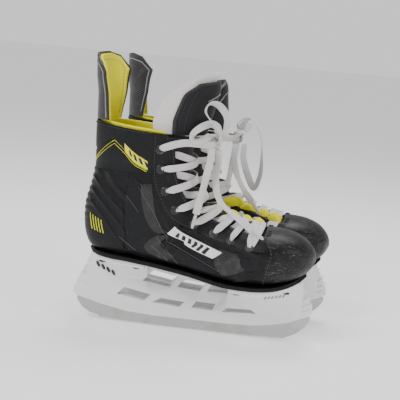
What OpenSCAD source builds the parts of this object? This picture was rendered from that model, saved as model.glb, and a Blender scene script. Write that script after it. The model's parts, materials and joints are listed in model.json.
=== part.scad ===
// Pair of lace-up ice skates: moulded boots, tall tendon guards, plastic holders and steel runners.
// One skate is modelled with its runner's centre on the origin, toe towards +X and lateral side
// towards -Y. That is the right skate; the left one is its mirror image, set beside it.

/* [Pair] */
// Distance between the two runners
pair_spacing = 95; // [92:1:160]
// How far the left skate stands ahead of the right one
stagger = 15; // [0:1:40]

/* [Boot] */
// Length of the boot from heel to toe
boot_length = 234; // [215:1:255]
// Width across the ball of the boot
boot_width = 84; // [78:1:90]
// Height of the upper from its lowest point to the collar
upper_height = 140; // [132:1:150]
// Wall thickness of the moulded upper
wall = 2.4; // [2:0.1:3]
// Thickness of the foam liner
liner_t = 3.6; // [3:0.1:4.5]
// Height of the tendon guard above the collar
guard_height = 64; // [50:1:75]

/* [Runner] */
// Height of the boot's lowest point above the ice
ride_height = 57; // [55:1:62]
// Thickness of the steel blade
blade_t = 3; // [2.6:0.1:3.4]
// Radius of the blade's rocker
rocker_r = 2700; // [2400:100:3400]
// Width of the holder's lower rail
rail_w = 13; // [11:0.5:15]

/* [Laces] */
// Diameter of the free lace ends
lace_d = 4; // [3:0.5:5]
// Number of eyelets along each facing
eyelet_count = 8; // [6:1:9]

/* [Hidden] */

// Scale of the modelled last against its base size
kx = boot_length / 234;
ky = boot_width / 84;
kz = upper_height / 140;

// Sections of the upper, from the collar down the heel, along the sole and out to the toe.
// Each row: back or sole point x, z; front or top point x, z; half width; corner powers of both ends.
// Heights are above the upper's lowest point.
SECTIONS = [
    [-111, 146, -8, 140, 32, 2.3, 2.3],
    [-109, 108, -12, 109, 33, 2.3, 2.3],
    [-111, 86, -9, 92, 34, 2.3, 2.3],
    [-116, 61, 1, 80, 33, 2.4, 2.3],
    [-114.5, 36, 11, 72, 32, 2.6, 2.2],
    [-106, 20, 19, 67.5, 31, 3, 2.2],
    [-88, 16, 26, 64, 31, 3.4, 2.2],
    [-66, 14.5, 34, 61, 31, 3.6, 2.2],
    [-36, 11, 42, 58, 33, 3.6, 2.2],
    [-4, 6.5, 50, 56, 37, 3.6, 2.2],
    [30, 0.5, 60, 54, 41, 3.6, 2.3],
    [60, 0, 72, 54, 42, 3.4, 2.5],
    [82, 2.5, 89, 52.5, 39, 3.2, 2.6],
    [99, 8, 103, 48, 32, 3, 2.6],
    [109, 14, 112, 41, 22, 2.6, 2.4],
    [114.5, 20, 116.5, 34, 11, 2.3, 2.3],
    [117.5, 26, 117.7, 28, 2, 2, 2]
];

// Sections of the free tongue, from its top down to the collar, in the same form
TONGUE_SECTIONS = [
    [-62, 185, 4, 201, 22, 2.3, 2.3],
    [-82, 171, 8.5, 189, 27, 2.3, 2.3],
    [-90, 158, 6, 173, 29, 2.3, 2.3],
    [-98, 147, 2, 155, 28, 2.3, 2.3],
    [-100, 136, -2, 139, 25, 2.3, 2.3]
];

// Where panels meet, as shares of the half girth against the section number
THROAT = [[0, 0.67], [1, 0.73], [2, 0.755], [3.4, 0.755], [5, 0.78], [9, 0.79], [11, 0.79]];
FACING_LOW = [[0, 0.54], [1, 0.56], [2, 0.575], [4, 0.60], [5.4, 0.62], [7.7, 0.595], [11, 0.58]];
EYELET_U = [[0, 0.57], [0.143, 1.16], [0.286, 2.4], [0.429, 3.7], [0.571, 5.7], [0.714, 7.6],
    [0.857, 8.9], [1, 10.06]];
EYELET_V = [[0, 0.60], [0.286, 0.635], [0.571, 0.665], [1, 0.62]];
HEEL_FRONT = [[1.4, 0.45], [5, 0.42], [7, 0.24], [8, 0.10]];
LINER_FRONT = [[0, 0.50], [1, 0.55], [2, 0.62], [4, 0.66], [11, 0.68]];
LINER_LOW = [[0, 0], [4.2, 0], [6, 0.15], [11, 0.16], [15, 0.18]];
// Backward lean of the left tongue's free top, by section
LEFT_LEAN = [-22, -16.5, -11.5, -5.5, 0];
TONGUE_EDGE = [[0, 0.68], [1, 0.57], [2, 0.58], [3, 0.57], [4, 0.60]];

// How far a crossing starts from its eyelet's centre, against the eyelet's number
LACE_SHIFT = [[0, 0.13], [2, 0.16], [4, 0.36], [7, 0.2]];

cuff_end = 1.4;
heel_end = 8;
cap_start = 11.2;
cap_start_top = 10.6;
cap_end = 16;
sole_turn = 0.10;
play = 0.05;
// Gap between shells that follow the same curved surface, and between their edges as a girth share
shell_gap = 0.8;
seam_share = 0.007;

// Outline of the sole: x and half width
SOLE_OUTLINE = [
    [-108, 7], [-103, 17], [-94, 25], [-80, 29], [-60, 29.5], [-36, 29.5], [-4, 31.5],
    [30, 36.5], [60, 38.5], [80, 36], [94, 29], [104, 20], [111, 9]
];
outsole_t = 3.2;
outsole_gap = 0.9;
board_t = 2;
board_lift = 1.7;
board_inset = 13.5;
footbed_t = 3;

// Holder profile: front and rear ends and the rail's lower edge, x and z
REAR_END = [[-118.7, 23], [-121.8, 25.8], [-122.2, 29.5], [-119.7, 36], [-112.3, 52.3]];
RAIL_EDGE = [[117.6, 27.8], [96.2, 18.4], [78.7, 14.4], [61, 11.9], [34, 10.9], [-3, 10.6],
    [-40.5, 10.6], [-66.3, 12], [-92.3, 16.5]];
FRONT_END = [[108.5, 56], [115, 44.5], [119.6, 34.5], [120, 30.5]];
WINDOWS = [
    [[-40, 58.5], [-16, 53], [-24, 41.6], [-52, 45.7]],
    [[-11, 51], [12, 49.4], [6.6, 41], [-16.8, 42.5]],
    [[18, 48.6], [34, 49.4], [39, 42.3], [13.5, 41]],
    [[-77, 28.5], [-70, 36.6], [-42, 31.8], [-49, 24.5]],
    [[-41, 24], [-32, 29.4], [-8, 28], [-13, 22]],
    [[-1, 23], [3.6, 29.9], [23.8, 29.7], [20.4, 22.6]],
    [[29.7, 22], [35, 27], [59, 28], [64.6, 24.2]]
];
REAR_TOWER = [-108, -47];
FRONT_TOWER = [34, 109];
BRIDGE_GAP = [[-40, 61.5], [-16, 56.6], [4.5, 53.2], [31, 50.2], [36, 53.5], [36, 64], [-44, 80]];
bolt_x = [-82, 76];
bolt_r = 2.5;
tab_r = 7;
tab_z = 26;

// Blade outline above the rocker, x and z
BLADE_END_REAR = [[-95.7, 3.5], [-104.5, 5.5], [-112.8, 10.1], [-118.3, 17.9], [-118.4, 21]];
BLADE_END_FRONT = [[118.2, 25.4], [118.2, 21.9], [114.4, 15.2], [106.2, 7.5]];
BLADE_TOP = [[-92, 22.5], [-66, 18.5], [-40, 17], [34, 17], [61, 18], [79, 20.5], [96, 23]];
blade_play = 0.3;

// Free lace routes, from the knot outwards, in the skate's own frame
KNOT = [9, -6, 191];
knot_r = 5.5;
LOOP_A = [[3, -12, 197], [-5, -21, 192], [-12, -25, 192], [-13, -26, 198], [-6, -24, 205], [3, -17, 209],
    [9, -10, 206], [10, -7, 200]];
LOOP_B = [[15, -5, 197], [18, -7, 206], [17, -12, 218], [9, -20, 228], [1, -26, 229], [-2, -29, 221],
    [5, -25, 211], [12, -18, 203], [13, -13, 197]];
TAIL_A = [[6, -14, 186], [6, -19, 174], [4, -23, 160], [2, -27, 146], [0, -30, 134], [-2, -34, 122]];
TAIL_B = [[12, -8, 184], [13, -9, 172], [12, -12, 158], [14, -16, 146], [20, -20, 134], [31, -25, 126],
    [42, -31, 120], [54, -37, 113]];
LEFT_LOOP_A = [[12, 4, 198], [14, 10, 206], [20, 15, 212], [29, 18, 206], [35, 20, 190], [37, 22, 172],
    [37, 23, 154], [32, 22, 140], [24, 18, 152], [17, 10, 170], [17, 3, 184]];
LEFT_LOOP_B = [[15, -5, 197], [20, -9, 204], [19, -17, 209], [12, -23, 209], [6, -22, 203], [8, -15, 199],
    [11, -12, 198]];
LEFT_TAIL_B = [[8, 4, 183], [7, 10, 170], [10, 15, 157], [16, 20, 145], [24, 25, 134], [32, 29, 125]];
lace_lift = 4.5;
aglet_l = 14;
aglet_r = 1.7;

function mix(a, b, t) = a + (b - a) * t;
function unit(v) = v / norm(v);

// Smooth blend through four rows of a table
function spline(a, b, c, d, f) =
    0.5 * (2 * b + (c - a) * f + (2 * a - 5 * b + 4 * c - d) * f * f + (3 * b - a - 3 * c + d) * f * f * f);
function row(table, i) = table[max(0, min(len(table) - 1, i))];
function section(table, u) =
    let (i = floor(u), f = u - i)
        spline(row(table, i - 1), row(table, i), row(table, i + 1), row(table, i + 2), f);

// Point of the upper at section u and girth share v: 0 is the back or sole, 1 the front or top,
// negative on the lateral side
function skin_point(table, u, v) =
    let (
        w = v > 1 ? v - 2 : v < -1 ? v + 2 : v,
        s = section(table, u),
        c = cos(180 * w),
        power = 2 / (c > 0 ? s[5] : s[6]),
        t = 0.5 - 0.5 * sign(c) * pow(abs(c), power),
        y = sign(w) * s[4] * pow(abs(sin(180 * w)), power)
    )
        [kx * mix(s[0], s[2], t), ky * y, ride_height + kz * mix(s[1], s[3], t)];

function skin_normal(table, u, v) =
    let (
        eu = 0.03,
        ev = 0.01,
        du = skin_point(table, u + eu, v) - skin_point(table, u - eu, v),
        dv = skin_point(table, u, v + ev) - skin_point(table, u, v - ev)
    )
        unit(cross(dv, du));

function skin(u, v, lift, table = SECTIONS) = skin_point(table, u, v) + lift * skin_normal(table, u, v);

// Height of the sole's profile at x
SOLE_LINE = [for (u = [4:0.25:14.5]) let (p = skin_point(SECTIONS, u, 0)) [p[0], p[2]]];
function sole_z(x) = lookup(x, SOLE_LINE);

// Closed shell between two lifts of the upper. place(a, b) gives section and girth for shares a and b.
module panel(place, na, nb, low, high, table = SECTIONS) {
    spots = [for (i = [0:na]) for (j = [0:nb]) place(i / na, j / nb)];
    outer = [for (p = spots) skin(p[0], p[1], high, table)];
    inner = [for (p = spots) skin(p[0], p[1], low, table)];
    shell(outer, inner, na, nb);
}

// Closed solid between two grids of points
module shell(outer, inner, na, nb) {
    m = nb + 1;
    k = len(outer);
    rim = concat(
        [for (j = [0:nb - 1]) j],
        [for (i = [0:na - 1]) i * m + nb],
        [for (j = [nb:-1:1]) na * m + j],
        [for (i = [na:-1:1]) i * m]
    );
    n = len(rim);
    polyhedron(concat(outer, inner), concat(
        [for (i = [0:na - 1]) for (j = [0:nb - 1])
            for (t = [[0, m, m + 1], [0, m + 1, 1]]) [for (q = t) i * m + j + q]],
        [for (i = [0:na - 1]) for (j = [0:nb - 1])
            for (t = [[0, m + 1, m], [0, 1, m + 1]]) [for (q = t) k + i * m + j + q]],
        [for (e = [0:n - 1])
            let (a = rim[e], b = rim[(e + 1) % n])
                for (t = [[a, b, k + b], [a, k + b, k + a]]) t]
    ));
}

// Plate that follows the sole's profile between two heights above it
module sole_plate(low, high, narrow, rear = 0, front = 0) {
    rows = [for (p = SOLE_OUTLINE) if (p[0] >= -108 + rear && p[0] <= 111 - front) p];
    n = len(rows);
    points = [for (p = rows)
        let (x = kx * p[0], y = ky * p[1] - narrow, z = sole_z(x))
            each [[x, -y, z + low], [x, y, z + low], [x, y, z + high], [x, -y, z + high]]];
    polyhedron(points, concat(
        [[0, 1, 2], [0, 2, 3]],
        [for (i = [0:n - 2]) for (s = [0:3])
            let (a = 4 * i + s, b = 4 * i + (s + 1) % 4)
                for (t = [[a, a + 4, b + 4], [a, b + 4, b]]) t],
        [let (e = 4 * n - 4) each [[e, e + 2, e + 1], [e, e + 3, e + 2]]]
    ));
}

// Tube of a given diameter along a route
module tube(route, d, sides = 8) {
    n = len(route);
    along = [for (i = [0:n - 1]) unit(route[min(i + 1, n - 1)] - route[max(i - 1, 0)])];
    up = [for (t = along) unit(cross(t, [0.1, 1, 0.05]))];
    points = [for (i = [0:n - 1]) for (s = [0:sides - 1])
        let (a = 360 * s / sides, side = cross(along[i], up[i]))
            route[i] + d / 2 * (cos(a) * up[i] + sin(a) * side)];
    polyhedron(points, concat(
        [[for (s = [sides - 1:-1:0]) s]],
        [for (i = [0:n - 2]) for (s = [0:sides - 1])
            let (a = i * sides + s, b = i * sides + (s + 1) % sides)
                for (t = [[a, b, b + sides], [a, b + sides, a + sides]]) t],
        [[for (s = [0:sides - 1]) (n - 1) * sides + s]]
    ));
}

// Turns +Z to a direction
module point_along(direction) {
    rotate([0, acos(direction[2] / norm(direction)), atan2(direction[1], direction[0])]) children();
}

// Turns a profile drawn in x and z into a plate of width w across the skate
module across(w) {
    rotate([90, 0, 0]) linear_extrude(w, center = true) children();
}

module windows() {
    for (w = WINDOWS) polygon(w);
    polygon(BRIDGE_GAP);
}

function holder_top(from, to) = [
    for (x = concat([from], [for (p = SOLE_OUTLINE) if (kx * p[0] > from && kx * p[0] < to) kx * p[0]], [to]))
        [x, sole_z(x) - outsole_t - outsole_gap - play]
];

module holder_profile() {
    difference() {
        polygon(concat(REAR_END, holder_top(-104, 106), FRONT_END, RAIL_EDGE));
        windows();
    }
}

module tower(span, top_half) {
    flank = [[rail_w / 2, 20], [rail_w / 2 + 1, 36], [top_half * 0.7, 48], [top_half, 60], [top_half, 84]];
    intersection() {
        across(90) intersection() {
            holder_profile();
            translate([span[0], 25]) square([span[1] - span[0], 60]);
        }
        rotate([90, 0, 90]) linear_extrude(300, center = true)
            polygon(concat(flank, [for (i = [len(flank) - 1:-1:0]) [-flank[i][0], flank[i][1]]]));
    }
}

module flange(span) {
    top = holder_top(span[0], span[1]);
    under = [for (i = [len(top) - 1:-1:0]) top[i] - [0, 4.5]];
    outline = [for (p = SOLE_OUTLINE) [kx * p[0], ky * p[1] - 2.5]];
    intersection() {
        across(90) polygon(concat(top, under));
        linear_extrude(100) polygon(concat(
            outline,
            [for (i = [len(outline) - 1:-1:0]) [outline[i][0], -outline[i][1]]]
        ));
    }
}

module rivet_spots() {
    for (p = [[-92, 18.3], [-57, 20], [44, 26], [92, 22.5]]) for (side = [-1, 1])
        translate([p[0], side * p[1], sole_z(p[0]) - outsole_t - outsole_gap - play]) children();
}

module bolt_spots() {
    for (x = bolt_x) translate([x, 0, 0]) children();
}

function bolt_top(x) = sole_z(x) - outsole_t - outsole_gap - 6;

module holder() {
    slot = concat(
        [[-126, 0], [-126, 21.3]],
        [for (p = BLADE_TOP) p + [0, blade_play]],
        [[118.5, 25.7], [126, 25.7], [126, 0]]
    );
    color("white") difference() {
        union() {
            across(rail_w) holder_profile();
            tower(REAR_TOWER, 14);
            tower(FRONT_TOWER, 18);
            flange(REAR_TOWER + [5, -2]);
            flange(FRONT_TOWER + [2, -4]);
        }
        across(blade_t + 0.4) polygon(slot);
        across(blade_t + 0.4) for (x = bolt_x)
            translate([x - tab_r - blade_play, 0]) square([2 * (tab_r + blade_play), tab_z + tab_r + 0.3]);
        bolt_spots() translate([0, 0, tab_z + tab_r - 2]) cylinder(60, r = bolt_r + 0.1, $fn = 48);
        for (x = bolt_x) translate([x, 0, bolt_top(x) - 4]) cylinder(20, r = 5.2, $fn = 48);
        rivet_spots() translate([0, 0, -12]) cylinder(20, r = 2.05, $fn = 32);
    }
}

module blade() {
    flat_half = 30;
    edge = [for (x = [-94:4:94]) [x, max(0, x * x - flat_half * flat_half) / (2 * rocker_r)]];
    color("silver") union() {
        across(blade_t) polygon(concat(BLADE_TOP, BLADE_END_FRONT, [for (i = [len(edge) - 1:-1:0]) edge[i]],
            BLADE_END_REAR));
        across(blade_t) for (x = bolt_x) {
            translate([x, tab_z]) circle(tab_r, $fn = 48);
            translate([x - tab_r, 15]) square([2 * tab_r, tab_z - 15]);
        }
    }
}

module blade_bolts() {
    color("gray") for (x = bolt_x) translate([x, 0, tab_z + tab_r + 0.6])
        cylinder(bolt_top(x) - tab_z - tab_r - 0.6, r = bolt_r, $fn = 48);
}

module blade_nuts() {
    color("silver") for (x = bolt_x) translate([x, 0, bolt_top(x) - 3.9]) difference() {
        cylinder(3.2, r = 4.6, $fn = 6);
        translate([0, 0, -1]) cylinder(6, r = bolt_r + 0.02, $fn = 48);
    }
}

module holder_rivets() {
    color("dimgray") rivet_spots() {
        translate([0, 0, -6]) cylinder(5.6, r = 2, $fn = 32);
        translate([0, 0, -6.6]) cylinder(1.2, r = 3.6, $fn = 32);
    }
}

module outsole() {
    color("black") sole_plate(-outsole_t - outsole_gap, -outsole_gap, 0);
}

module insole_board() {
    color("tan") sole_plate(wall + board_lift, wall + board_lift + board_t, board_inset, 14, 14);
}

module footbed() {
    low = wall + board_lift + board_t + 0.1;
    color("dimgray") sole_plate(low, low + footbed_t, board_inset, 14, 14);
}

module toe_cap() {
    start = [[0, cap_start], [0.58, cap_start], [0.79, cap_start_top], [1, cap_start_top]];
    na = 8;
    nb = 24;
    spots = [for (i = [0:na - 1]) for (j = [0:nb - 1])
        let (v = -1 + 2 * j / nb) [mix(lookup(abs(v), start), cap_end, i / na), v]];
    tip = [skin(cap_end, 0.5, 0.3) + [0.6, 0, 0], skin(cap_end, 0.5, 0.3) - [wall, 0, 0]];
    outer = [for (p = spots) skin(p[0], p[1], 0.3)];
    inner = [for (p = spots) skin(p[0], p[1], -wall)];
    k = len(outer);
    last = (na - 1) * nb;
    color("black") polyhedron(concat(outer, inner, [[tip[0][0], 0, tip[0][2]], [tip[1][0], 0, tip[1][2]]]), concat(
        [for (i = [0:na - 2]) for (j = [0:nb - 1])
            let (a = i * nb + j, b = i * nb + (j + 1) % nb)
                for (t = [[a, a + nb, b + nb], [a, b + nb, b], [k + a, k + b + nb, k + a + nb],
                    [k + a, k + b, k + b + nb]]) t],
        [for (j = [0:nb - 1]) let (b = (j + 1) % nb) for (t = [[j, b, k + b], [j, k + b, k + j]]) t],
        [for (j = [0:nb - 1]) let (a = last + j, b = last + (j + 1) % nb)
            for (t = [[a, 2 * k, b], [k + a, k + b, 2 * k + 1]]) t]
    ));
}

module heel_counter() {
    color("black") panel(function (a, b)
        let (u = mix(cuff_end, heel_end, a), v = mix(-1, 1, b) * lookup(u, HEEL_FRONT)) [u, v],
        13, 16, -wall, 0.6);
}

module quarter(side) {
    color("black") panel(function (a, b)
        let (
            u = mix(cuff_end, cap_start, a),
            low = u < heel_end ? lookup(u, HEEL_FRONT) + seam_share : sole_turn + seam_share,
            v = mix(low, lookup(u, FACING_LOW), side > 0 ? b : 1 - b)
        ) [u, side * v],
        20, 7, -wall, 0);
}

module lateral_quarter() {
    quarter(-1);
}

module medial_quarter() {
    quarter(1);
}

module ankle_cuff() {
    color("black") panel(function (a, b)
        let (v = mix(-1, 1, b), start = v < 0 ? -0.15 * v : 0, u = mix(start, cuff_end, a))
            [u, v * lookup(u, FACING_LOW)],
        4, 20, -wall, 0.3);
}

module facing(side) {
    color("black") panel(function (a, b)
        let (
            share = side > 0 ? b : 1 - b,
            u = mix(side > 0 ? 0 : 0.15, mix(cap_start, cap_start_top, share), a)
        ) [u, side * mix(lookup(u, FACING_LOW), lookup(u, THROAT), share)],
        20, 2, -wall, 0.8);
}

module lateral_facing() {
    facing(-1);
}

module medial_facing() {
    facing(1);
}

function eyelet_u(i) = lookup(i / (eyelet_count - 1), EYELET_U);
function eyelet_v(i) = lookup(i / (eyelet_count - 1), EYELET_V);

module eyelets() {
    color("gray") for (side = [-1, 1]) for (i = [0:eyelet_count - 1]) {
        u = eyelet_u(i);
        v = side * eyelet_v(i);
        translate(skin(u, v, 1.3)) point_along(skin_normal(SECTIONS, u, v)) difference() {
            cylinder(0.9, r = 4.6, $fn = 32);
            translate([0, 0, -1]) cylinder(3, r = 2.4, $fn = 32);
        }
    }
}

module liner() {
    color("dimgray") for (side = [-1, 1]) panel(function (a, b)
        let (u = mix(cuff_end, 13, a), share = side > 0 ? b : 1 - b)
            [u, side * mix(lookup(u, LINER_LOW) + 0.003, lookup(u, LINER_FRONT), share)],
        18, 7, -wall - shell_gap - liner_t, -wall - shell_gap);
}

module collar_lining() {
    color("yellow") panel(function (a, b)
        let (v = mix(-1, 1, b), start = v < 0 ? -0.15 * v : 0, u = mix(start, cuff_end - 0.02, a))
            [u, v * lookup(u, LINER_FRONT)],
        4, 20, -wall - shell_gap - liner_t, -wall - shell_gap);
}

// Rear flex guard: a height profile wrapped around the back of the ankle
GUARD_BACK = [[0, -111], [26, -112], [41, -114.5], [64, -116]];
GUARD_TOP = [[-72, 34], [-60, 48], [-42, 57], [0, 64], [45, 66], [78, 63], [110, 50]];
guard_depth = 22;
guard_half = 27.5;
guard_base = ride_height + upper_height + 6.6;

function guard_point(a, b, lift) =
    let (
        turn = mix(10 * a - 72, 80 + 30 * a, b),
        h = a * lookup(turn, GUARD_TOP) * guard_height / 64,
        n = unit([-guard_half * cos(turn), guard_depth * sin(turn)]),
        x = kx * lookup(h, GUARD_BACK) + guard_depth * (1 - cos(turn)),
        y = ky * guard_half * sin(turn)
    )
        [x + lift * n[0], y + lift * n[1], guard_base + h];

module guard_shell(low, high, start) {
    na = 6;
    nb = 12;
    spots = [for (i = [0:na]) for (j = [0:nb]) [mix(start, 1, i / na), j / nb]];
    shell([for (p = spots) guard_point(p[0], p[1], high)], [for (p = spots) guard_point(p[0], p[1], low)],
        na, nb);
}

module tendon_guard() {
    color("black") guard_shell(-2.2, 0.3, 0);
}

module guard_lining() {
    color("yellow") guard_shell(-5.5, -2.2 - play, 0);
}

module tongue_body() {
    color("black") panel(function (a, b)
        let (u = mix(0.25, 10.5, a), edge = lookup(u, LINER_FRONT) + 0.02) [u, mix(edge, 2 - edge, b)],
        18, 10, -wall - 5, -wall - shell_gap);
}

function leaning(lean) = [for (i = [0:len(lean) - 1])
    let (r = TONGUE_SECTIONS[i]) [r[0] + lean[i], r[1], r[2] + lean[i], r[3], r[4], r[5], r[6]]];

module tongue_panel(low, high, start, end, widen, lean) {
    panel(function (a, b)
        let (u = mix(start, end, a), edge = lookup(u, TONGUE_EDGE) - widen) [u, mix(edge, 2 - edge, b)],
        8, 14, low, high, leaning(lean));
}

module tongue_top(lean = [0, 0, 0, 0, 0]) {
    color("black") tongue_panel(-3, 0, 0.4, 3.95, 0, lean);
}

module tongue_felt(lean = [0, 0, 0, 0, 0]) {
    color("white") tongue_panel(-10, -3 - shell_gap, 0, 3.95, 0.11, lean);
}

module badge(corners) {
    panel(function (a, b) mix(mix(corners[0], corners[1], a), mix(corners[3], corners[2], a), b),
        4, 2, 0.85, 1.6);
}

module badges() {
    color("white") badge([[5.78, -0.524], [9.1, -0.472], [9.16, -0.506], [5.17, -0.593]]);
    color("yellow") badge([[0.71, -0.414], [1.24, -0.54], [0.91, -0.536], [0.52, -0.406]]);
}

// One lace crossing from eyelet i on one side to eyelet j on the other, over the throat
function crossing(side, i, j, rise) = [
    for (k = [0:8])
        let (
            t = k / 8,
            from = side * eyelet_v(i),
            to = side * (2 - eyelet_v(j)),
            u = mix(eyelet_u(i) + lookup(i, LACE_SHIFT), eyelet_u(j) - lookup(j, LACE_SHIFT), t)
        )
            skin(u, mix(from, to, t), lace_lift + rise * sin(180 * t))
];

module lace() {
    color("whitesmoke") {
        for (i = [0:eyelet_count - 2]) {
            tube(crossing(-1, i, i + 1, 3.9), 3.4, 6);
            tube(crossing(1, i, i + 1, -0.6), 3.4, 6);
        }
        tube([for (k = [0:8]) let (i = eyelet_count - 1, v = eyelet_v(i))
            skin(eyelet_u(i) + 0.25, mix(-v, v - 2, k / 8), lace_lift)], 3.4, 6);
        for (side = [-1, 1]) tube(concat(
            [for (k = [0:3]) skin(0.42 - 0.03 * k, side * mix(0.60, 0.80, k / 3), lace_lift)],
            [KNOT + [-4, side * 9, -2.5]]), 3.4, 6);
        tube([KNOT - [0, knot_r, 0.5], KNOT, KNOT + [0, knot_r, -0.5]], 2 * knot_r - 1, 8);
    }
}

module lace_loop_a(route = LOOP_A) {
    color("whitesmoke") tube(route, lace_d);
}

module lace_loop_b(route = LOOP_B) {
    color("whitesmoke") tube(route, lace_d);
}

module lace_tail_a() {
    color("whitesmoke") tube(TAIL_A, lace_d);
}

module lace_tail_b(route = TAIL_B) {
    color("whitesmoke") tube(route, lace_d);
}

module aglet(route) {
    n = len(route);
    along = unit(route[n - 1] - route[n - 2]);
    translate(route[n - 1] + 0.05 * along) point_along(along) cylinder(aglet_l, r = aglet_r, $fn = 32);
}

module aglets(route_b = TAIL_B) {
    color("silver") {
        aglet(TAIL_A);
        aglet(route_b);
    }
}

// Places of the two skates. The holders' ends are not quite even about the runner's centre, so the
// pair is shifted to put its outline's middle on the origin.
centre_shift = -(REAR_END[2][0] + FRONT_END[3][0]) / 2;

module right() {
    translate([centre_shift - stagger / 2, -pair_spacing / 2, 0]) children();
}

module left() {
    translate([centre_shift + stagger / 2, pair_spacing / 2, 0]) mirror([0, 1, 0]) children();
}

right() holder();  // right_holder
right() blade();  // right_blade
right() blade_bolts();  // right_blade_bolts
right() blade_nuts();  // right_blade_nuts
right() holder_rivets();  // right_holder_rivets
right() outsole();  // right_outsole
right() insole_board();  // right_insole_board
right() footbed();  // right_footbed
right() toe_cap();  // right_toe_cap
right() heel_counter();  // right_heel_counter
right() lateral_quarter();  // right_lateral_quarter
right() medial_quarter();  // right_medial_quarter
right() ankle_cuff();  // right_ankle_cuff
right() lateral_facing();  // right_lateral_facing
right() medial_facing();  // right_medial_facing
right() eyelets();  // right_eyelets
right() liner();  // right_liner
right() collar_lining();  // right_collar_lining
right() tendon_guard();  // right_tendon_guard
right() guard_lining();  // right_guard_lining
right() tongue_body();  // right_tongue_body
right() tongue_top();  // right_tongue_top
right() tongue_felt();  // right_tongue_felt
right() badges();  // right_badges
right() lace();  // right_lace
right() lace_loop_a();  // right_lace_loop_a
right() lace_loop_b();  // right_lace_loop_b
right() lace_tail_a();  // right_lace_tail_a
right() lace_tail_b();  // right_lace_tail_b
right() aglets();  // right_aglets
left() holder();  // left_holder
left() blade();  // left_blade
left() blade_bolts();  // left_blade_bolts
left() blade_nuts();  // left_blade_nuts
left() holder_rivets();  // left_holder_rivets
left() outsole();  // left_outsole
left() insole_board();  // left_insole_board
left() footbed();  // left_footbed
left() toe_cap();  // left_toe_cap
left() heel_counter();  // left_heel_counter
left() lateral_quarter();  // left_lateral_quarter
left() medial_quarter();  // left_medial_quarter
left() ankle_cuff();  // left_ankle_cuff
left() lateral_facing();  // left_lateral_facing
left() medial_facing();  // left_medial_facing
left() eyelets();  // left_eyelets
left() liner();  // left_liner
left() collar_lining();  // left_collar_lining
left() tendon_guard();  // left_tendon_guard
left() guard_lining();  // left_guard_lining
left() tongue_body();  // left_tongue_body
left() tongue_top(LEFT_LEAN);  // left_tongue_top
left() tongue_felt(LEFT_LEAN);  // left_tongue_felt
left() badges();  // left_badges
left() lace();  // left_lace
left() lace_loop_a(LEFT_LOOP_A);  // left_lace_loop_a
left() lace_loop_b(LEFT_LOOP_B);  // left_lace_loop_b
left() lace_tail_a();  // left_lace_tail_a
left() lace_tail_b(LEFT_TAIL_B);  // left_lace_tail_b
left() aglets(LEFT_TAIL_B);  // left_aglets
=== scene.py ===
"""Pair of lace-up ice skates: boots, tendon guards, tongues, laces, holders and blades, dressed."""
from __future__ import annotations

import json
import logging
import math
from dataclasses import dataclass, field
from enum import Enum
from typing import Callable, Sequence

import bpy
from mathutils import Matrix, Vector
from mathutils.bvhtree import BVHTree

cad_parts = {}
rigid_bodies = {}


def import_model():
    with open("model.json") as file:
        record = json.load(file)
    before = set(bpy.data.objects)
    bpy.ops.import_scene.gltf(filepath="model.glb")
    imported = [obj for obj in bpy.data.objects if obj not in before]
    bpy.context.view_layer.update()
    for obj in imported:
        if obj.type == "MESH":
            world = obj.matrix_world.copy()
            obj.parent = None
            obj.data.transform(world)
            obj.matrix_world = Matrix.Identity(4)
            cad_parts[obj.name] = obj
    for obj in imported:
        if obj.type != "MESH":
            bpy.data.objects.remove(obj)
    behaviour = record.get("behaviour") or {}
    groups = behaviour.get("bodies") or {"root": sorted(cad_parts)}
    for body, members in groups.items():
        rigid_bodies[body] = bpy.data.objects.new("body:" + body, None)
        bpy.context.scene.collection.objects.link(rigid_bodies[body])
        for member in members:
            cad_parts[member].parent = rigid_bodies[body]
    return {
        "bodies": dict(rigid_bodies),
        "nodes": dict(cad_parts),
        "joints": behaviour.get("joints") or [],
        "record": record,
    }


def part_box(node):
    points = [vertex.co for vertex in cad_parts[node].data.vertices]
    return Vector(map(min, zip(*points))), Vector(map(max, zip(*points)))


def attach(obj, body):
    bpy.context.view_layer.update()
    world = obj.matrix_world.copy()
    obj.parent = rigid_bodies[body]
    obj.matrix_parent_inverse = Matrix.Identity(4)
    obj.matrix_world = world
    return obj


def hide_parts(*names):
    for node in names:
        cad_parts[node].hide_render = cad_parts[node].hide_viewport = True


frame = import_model()

log = logging.getLogger("skates")
MM = 0.001
Uv = tuple[float, float]
Place3 = tuple[float, float, float]
Place = Callable[[float, float], Uv]


# ---------------------------------------------------------------- small maths

def mix(a: float, b: float, t: float) -> float:
    """Return the value a share t of the way from a to b."""
    return a + (b - a) * t


def smooth(a: float, b: float, x: float) -> float:
    """Return 0 below a, 1 above b and an eased step between them."""
    t = min(1.0, max(0.0, (x - a) / (b - a)))
    return t * t * (3 - 2 * t)


def bump(x: float, centre: float, half: float) -> float:
    """Return an eased hill of height 1 at centre that ends half away on both sides."""
    return smooth(half, 0.0, abs(x - centre)) if half > 0 else 0.0


def table(rows: Sequence[Sequence[float]], x: float) -> float:
    """Look x up in rows of (x, value), straight between them and flat beyond them.

    Args:
        rows: Rows of (x, value), in order of x.
        x: Where to look.

    Returns:
        The value.
    """
    if x <= rows[0][0]:
        return rows[0][1]
    for low, high in zip(rows, rows[1:]):
        if x <= high[0]:
            return mix(low[1], high[1], (x - low[0]) / (high[0] - low[0]))
    return rows[-1][1]


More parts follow.
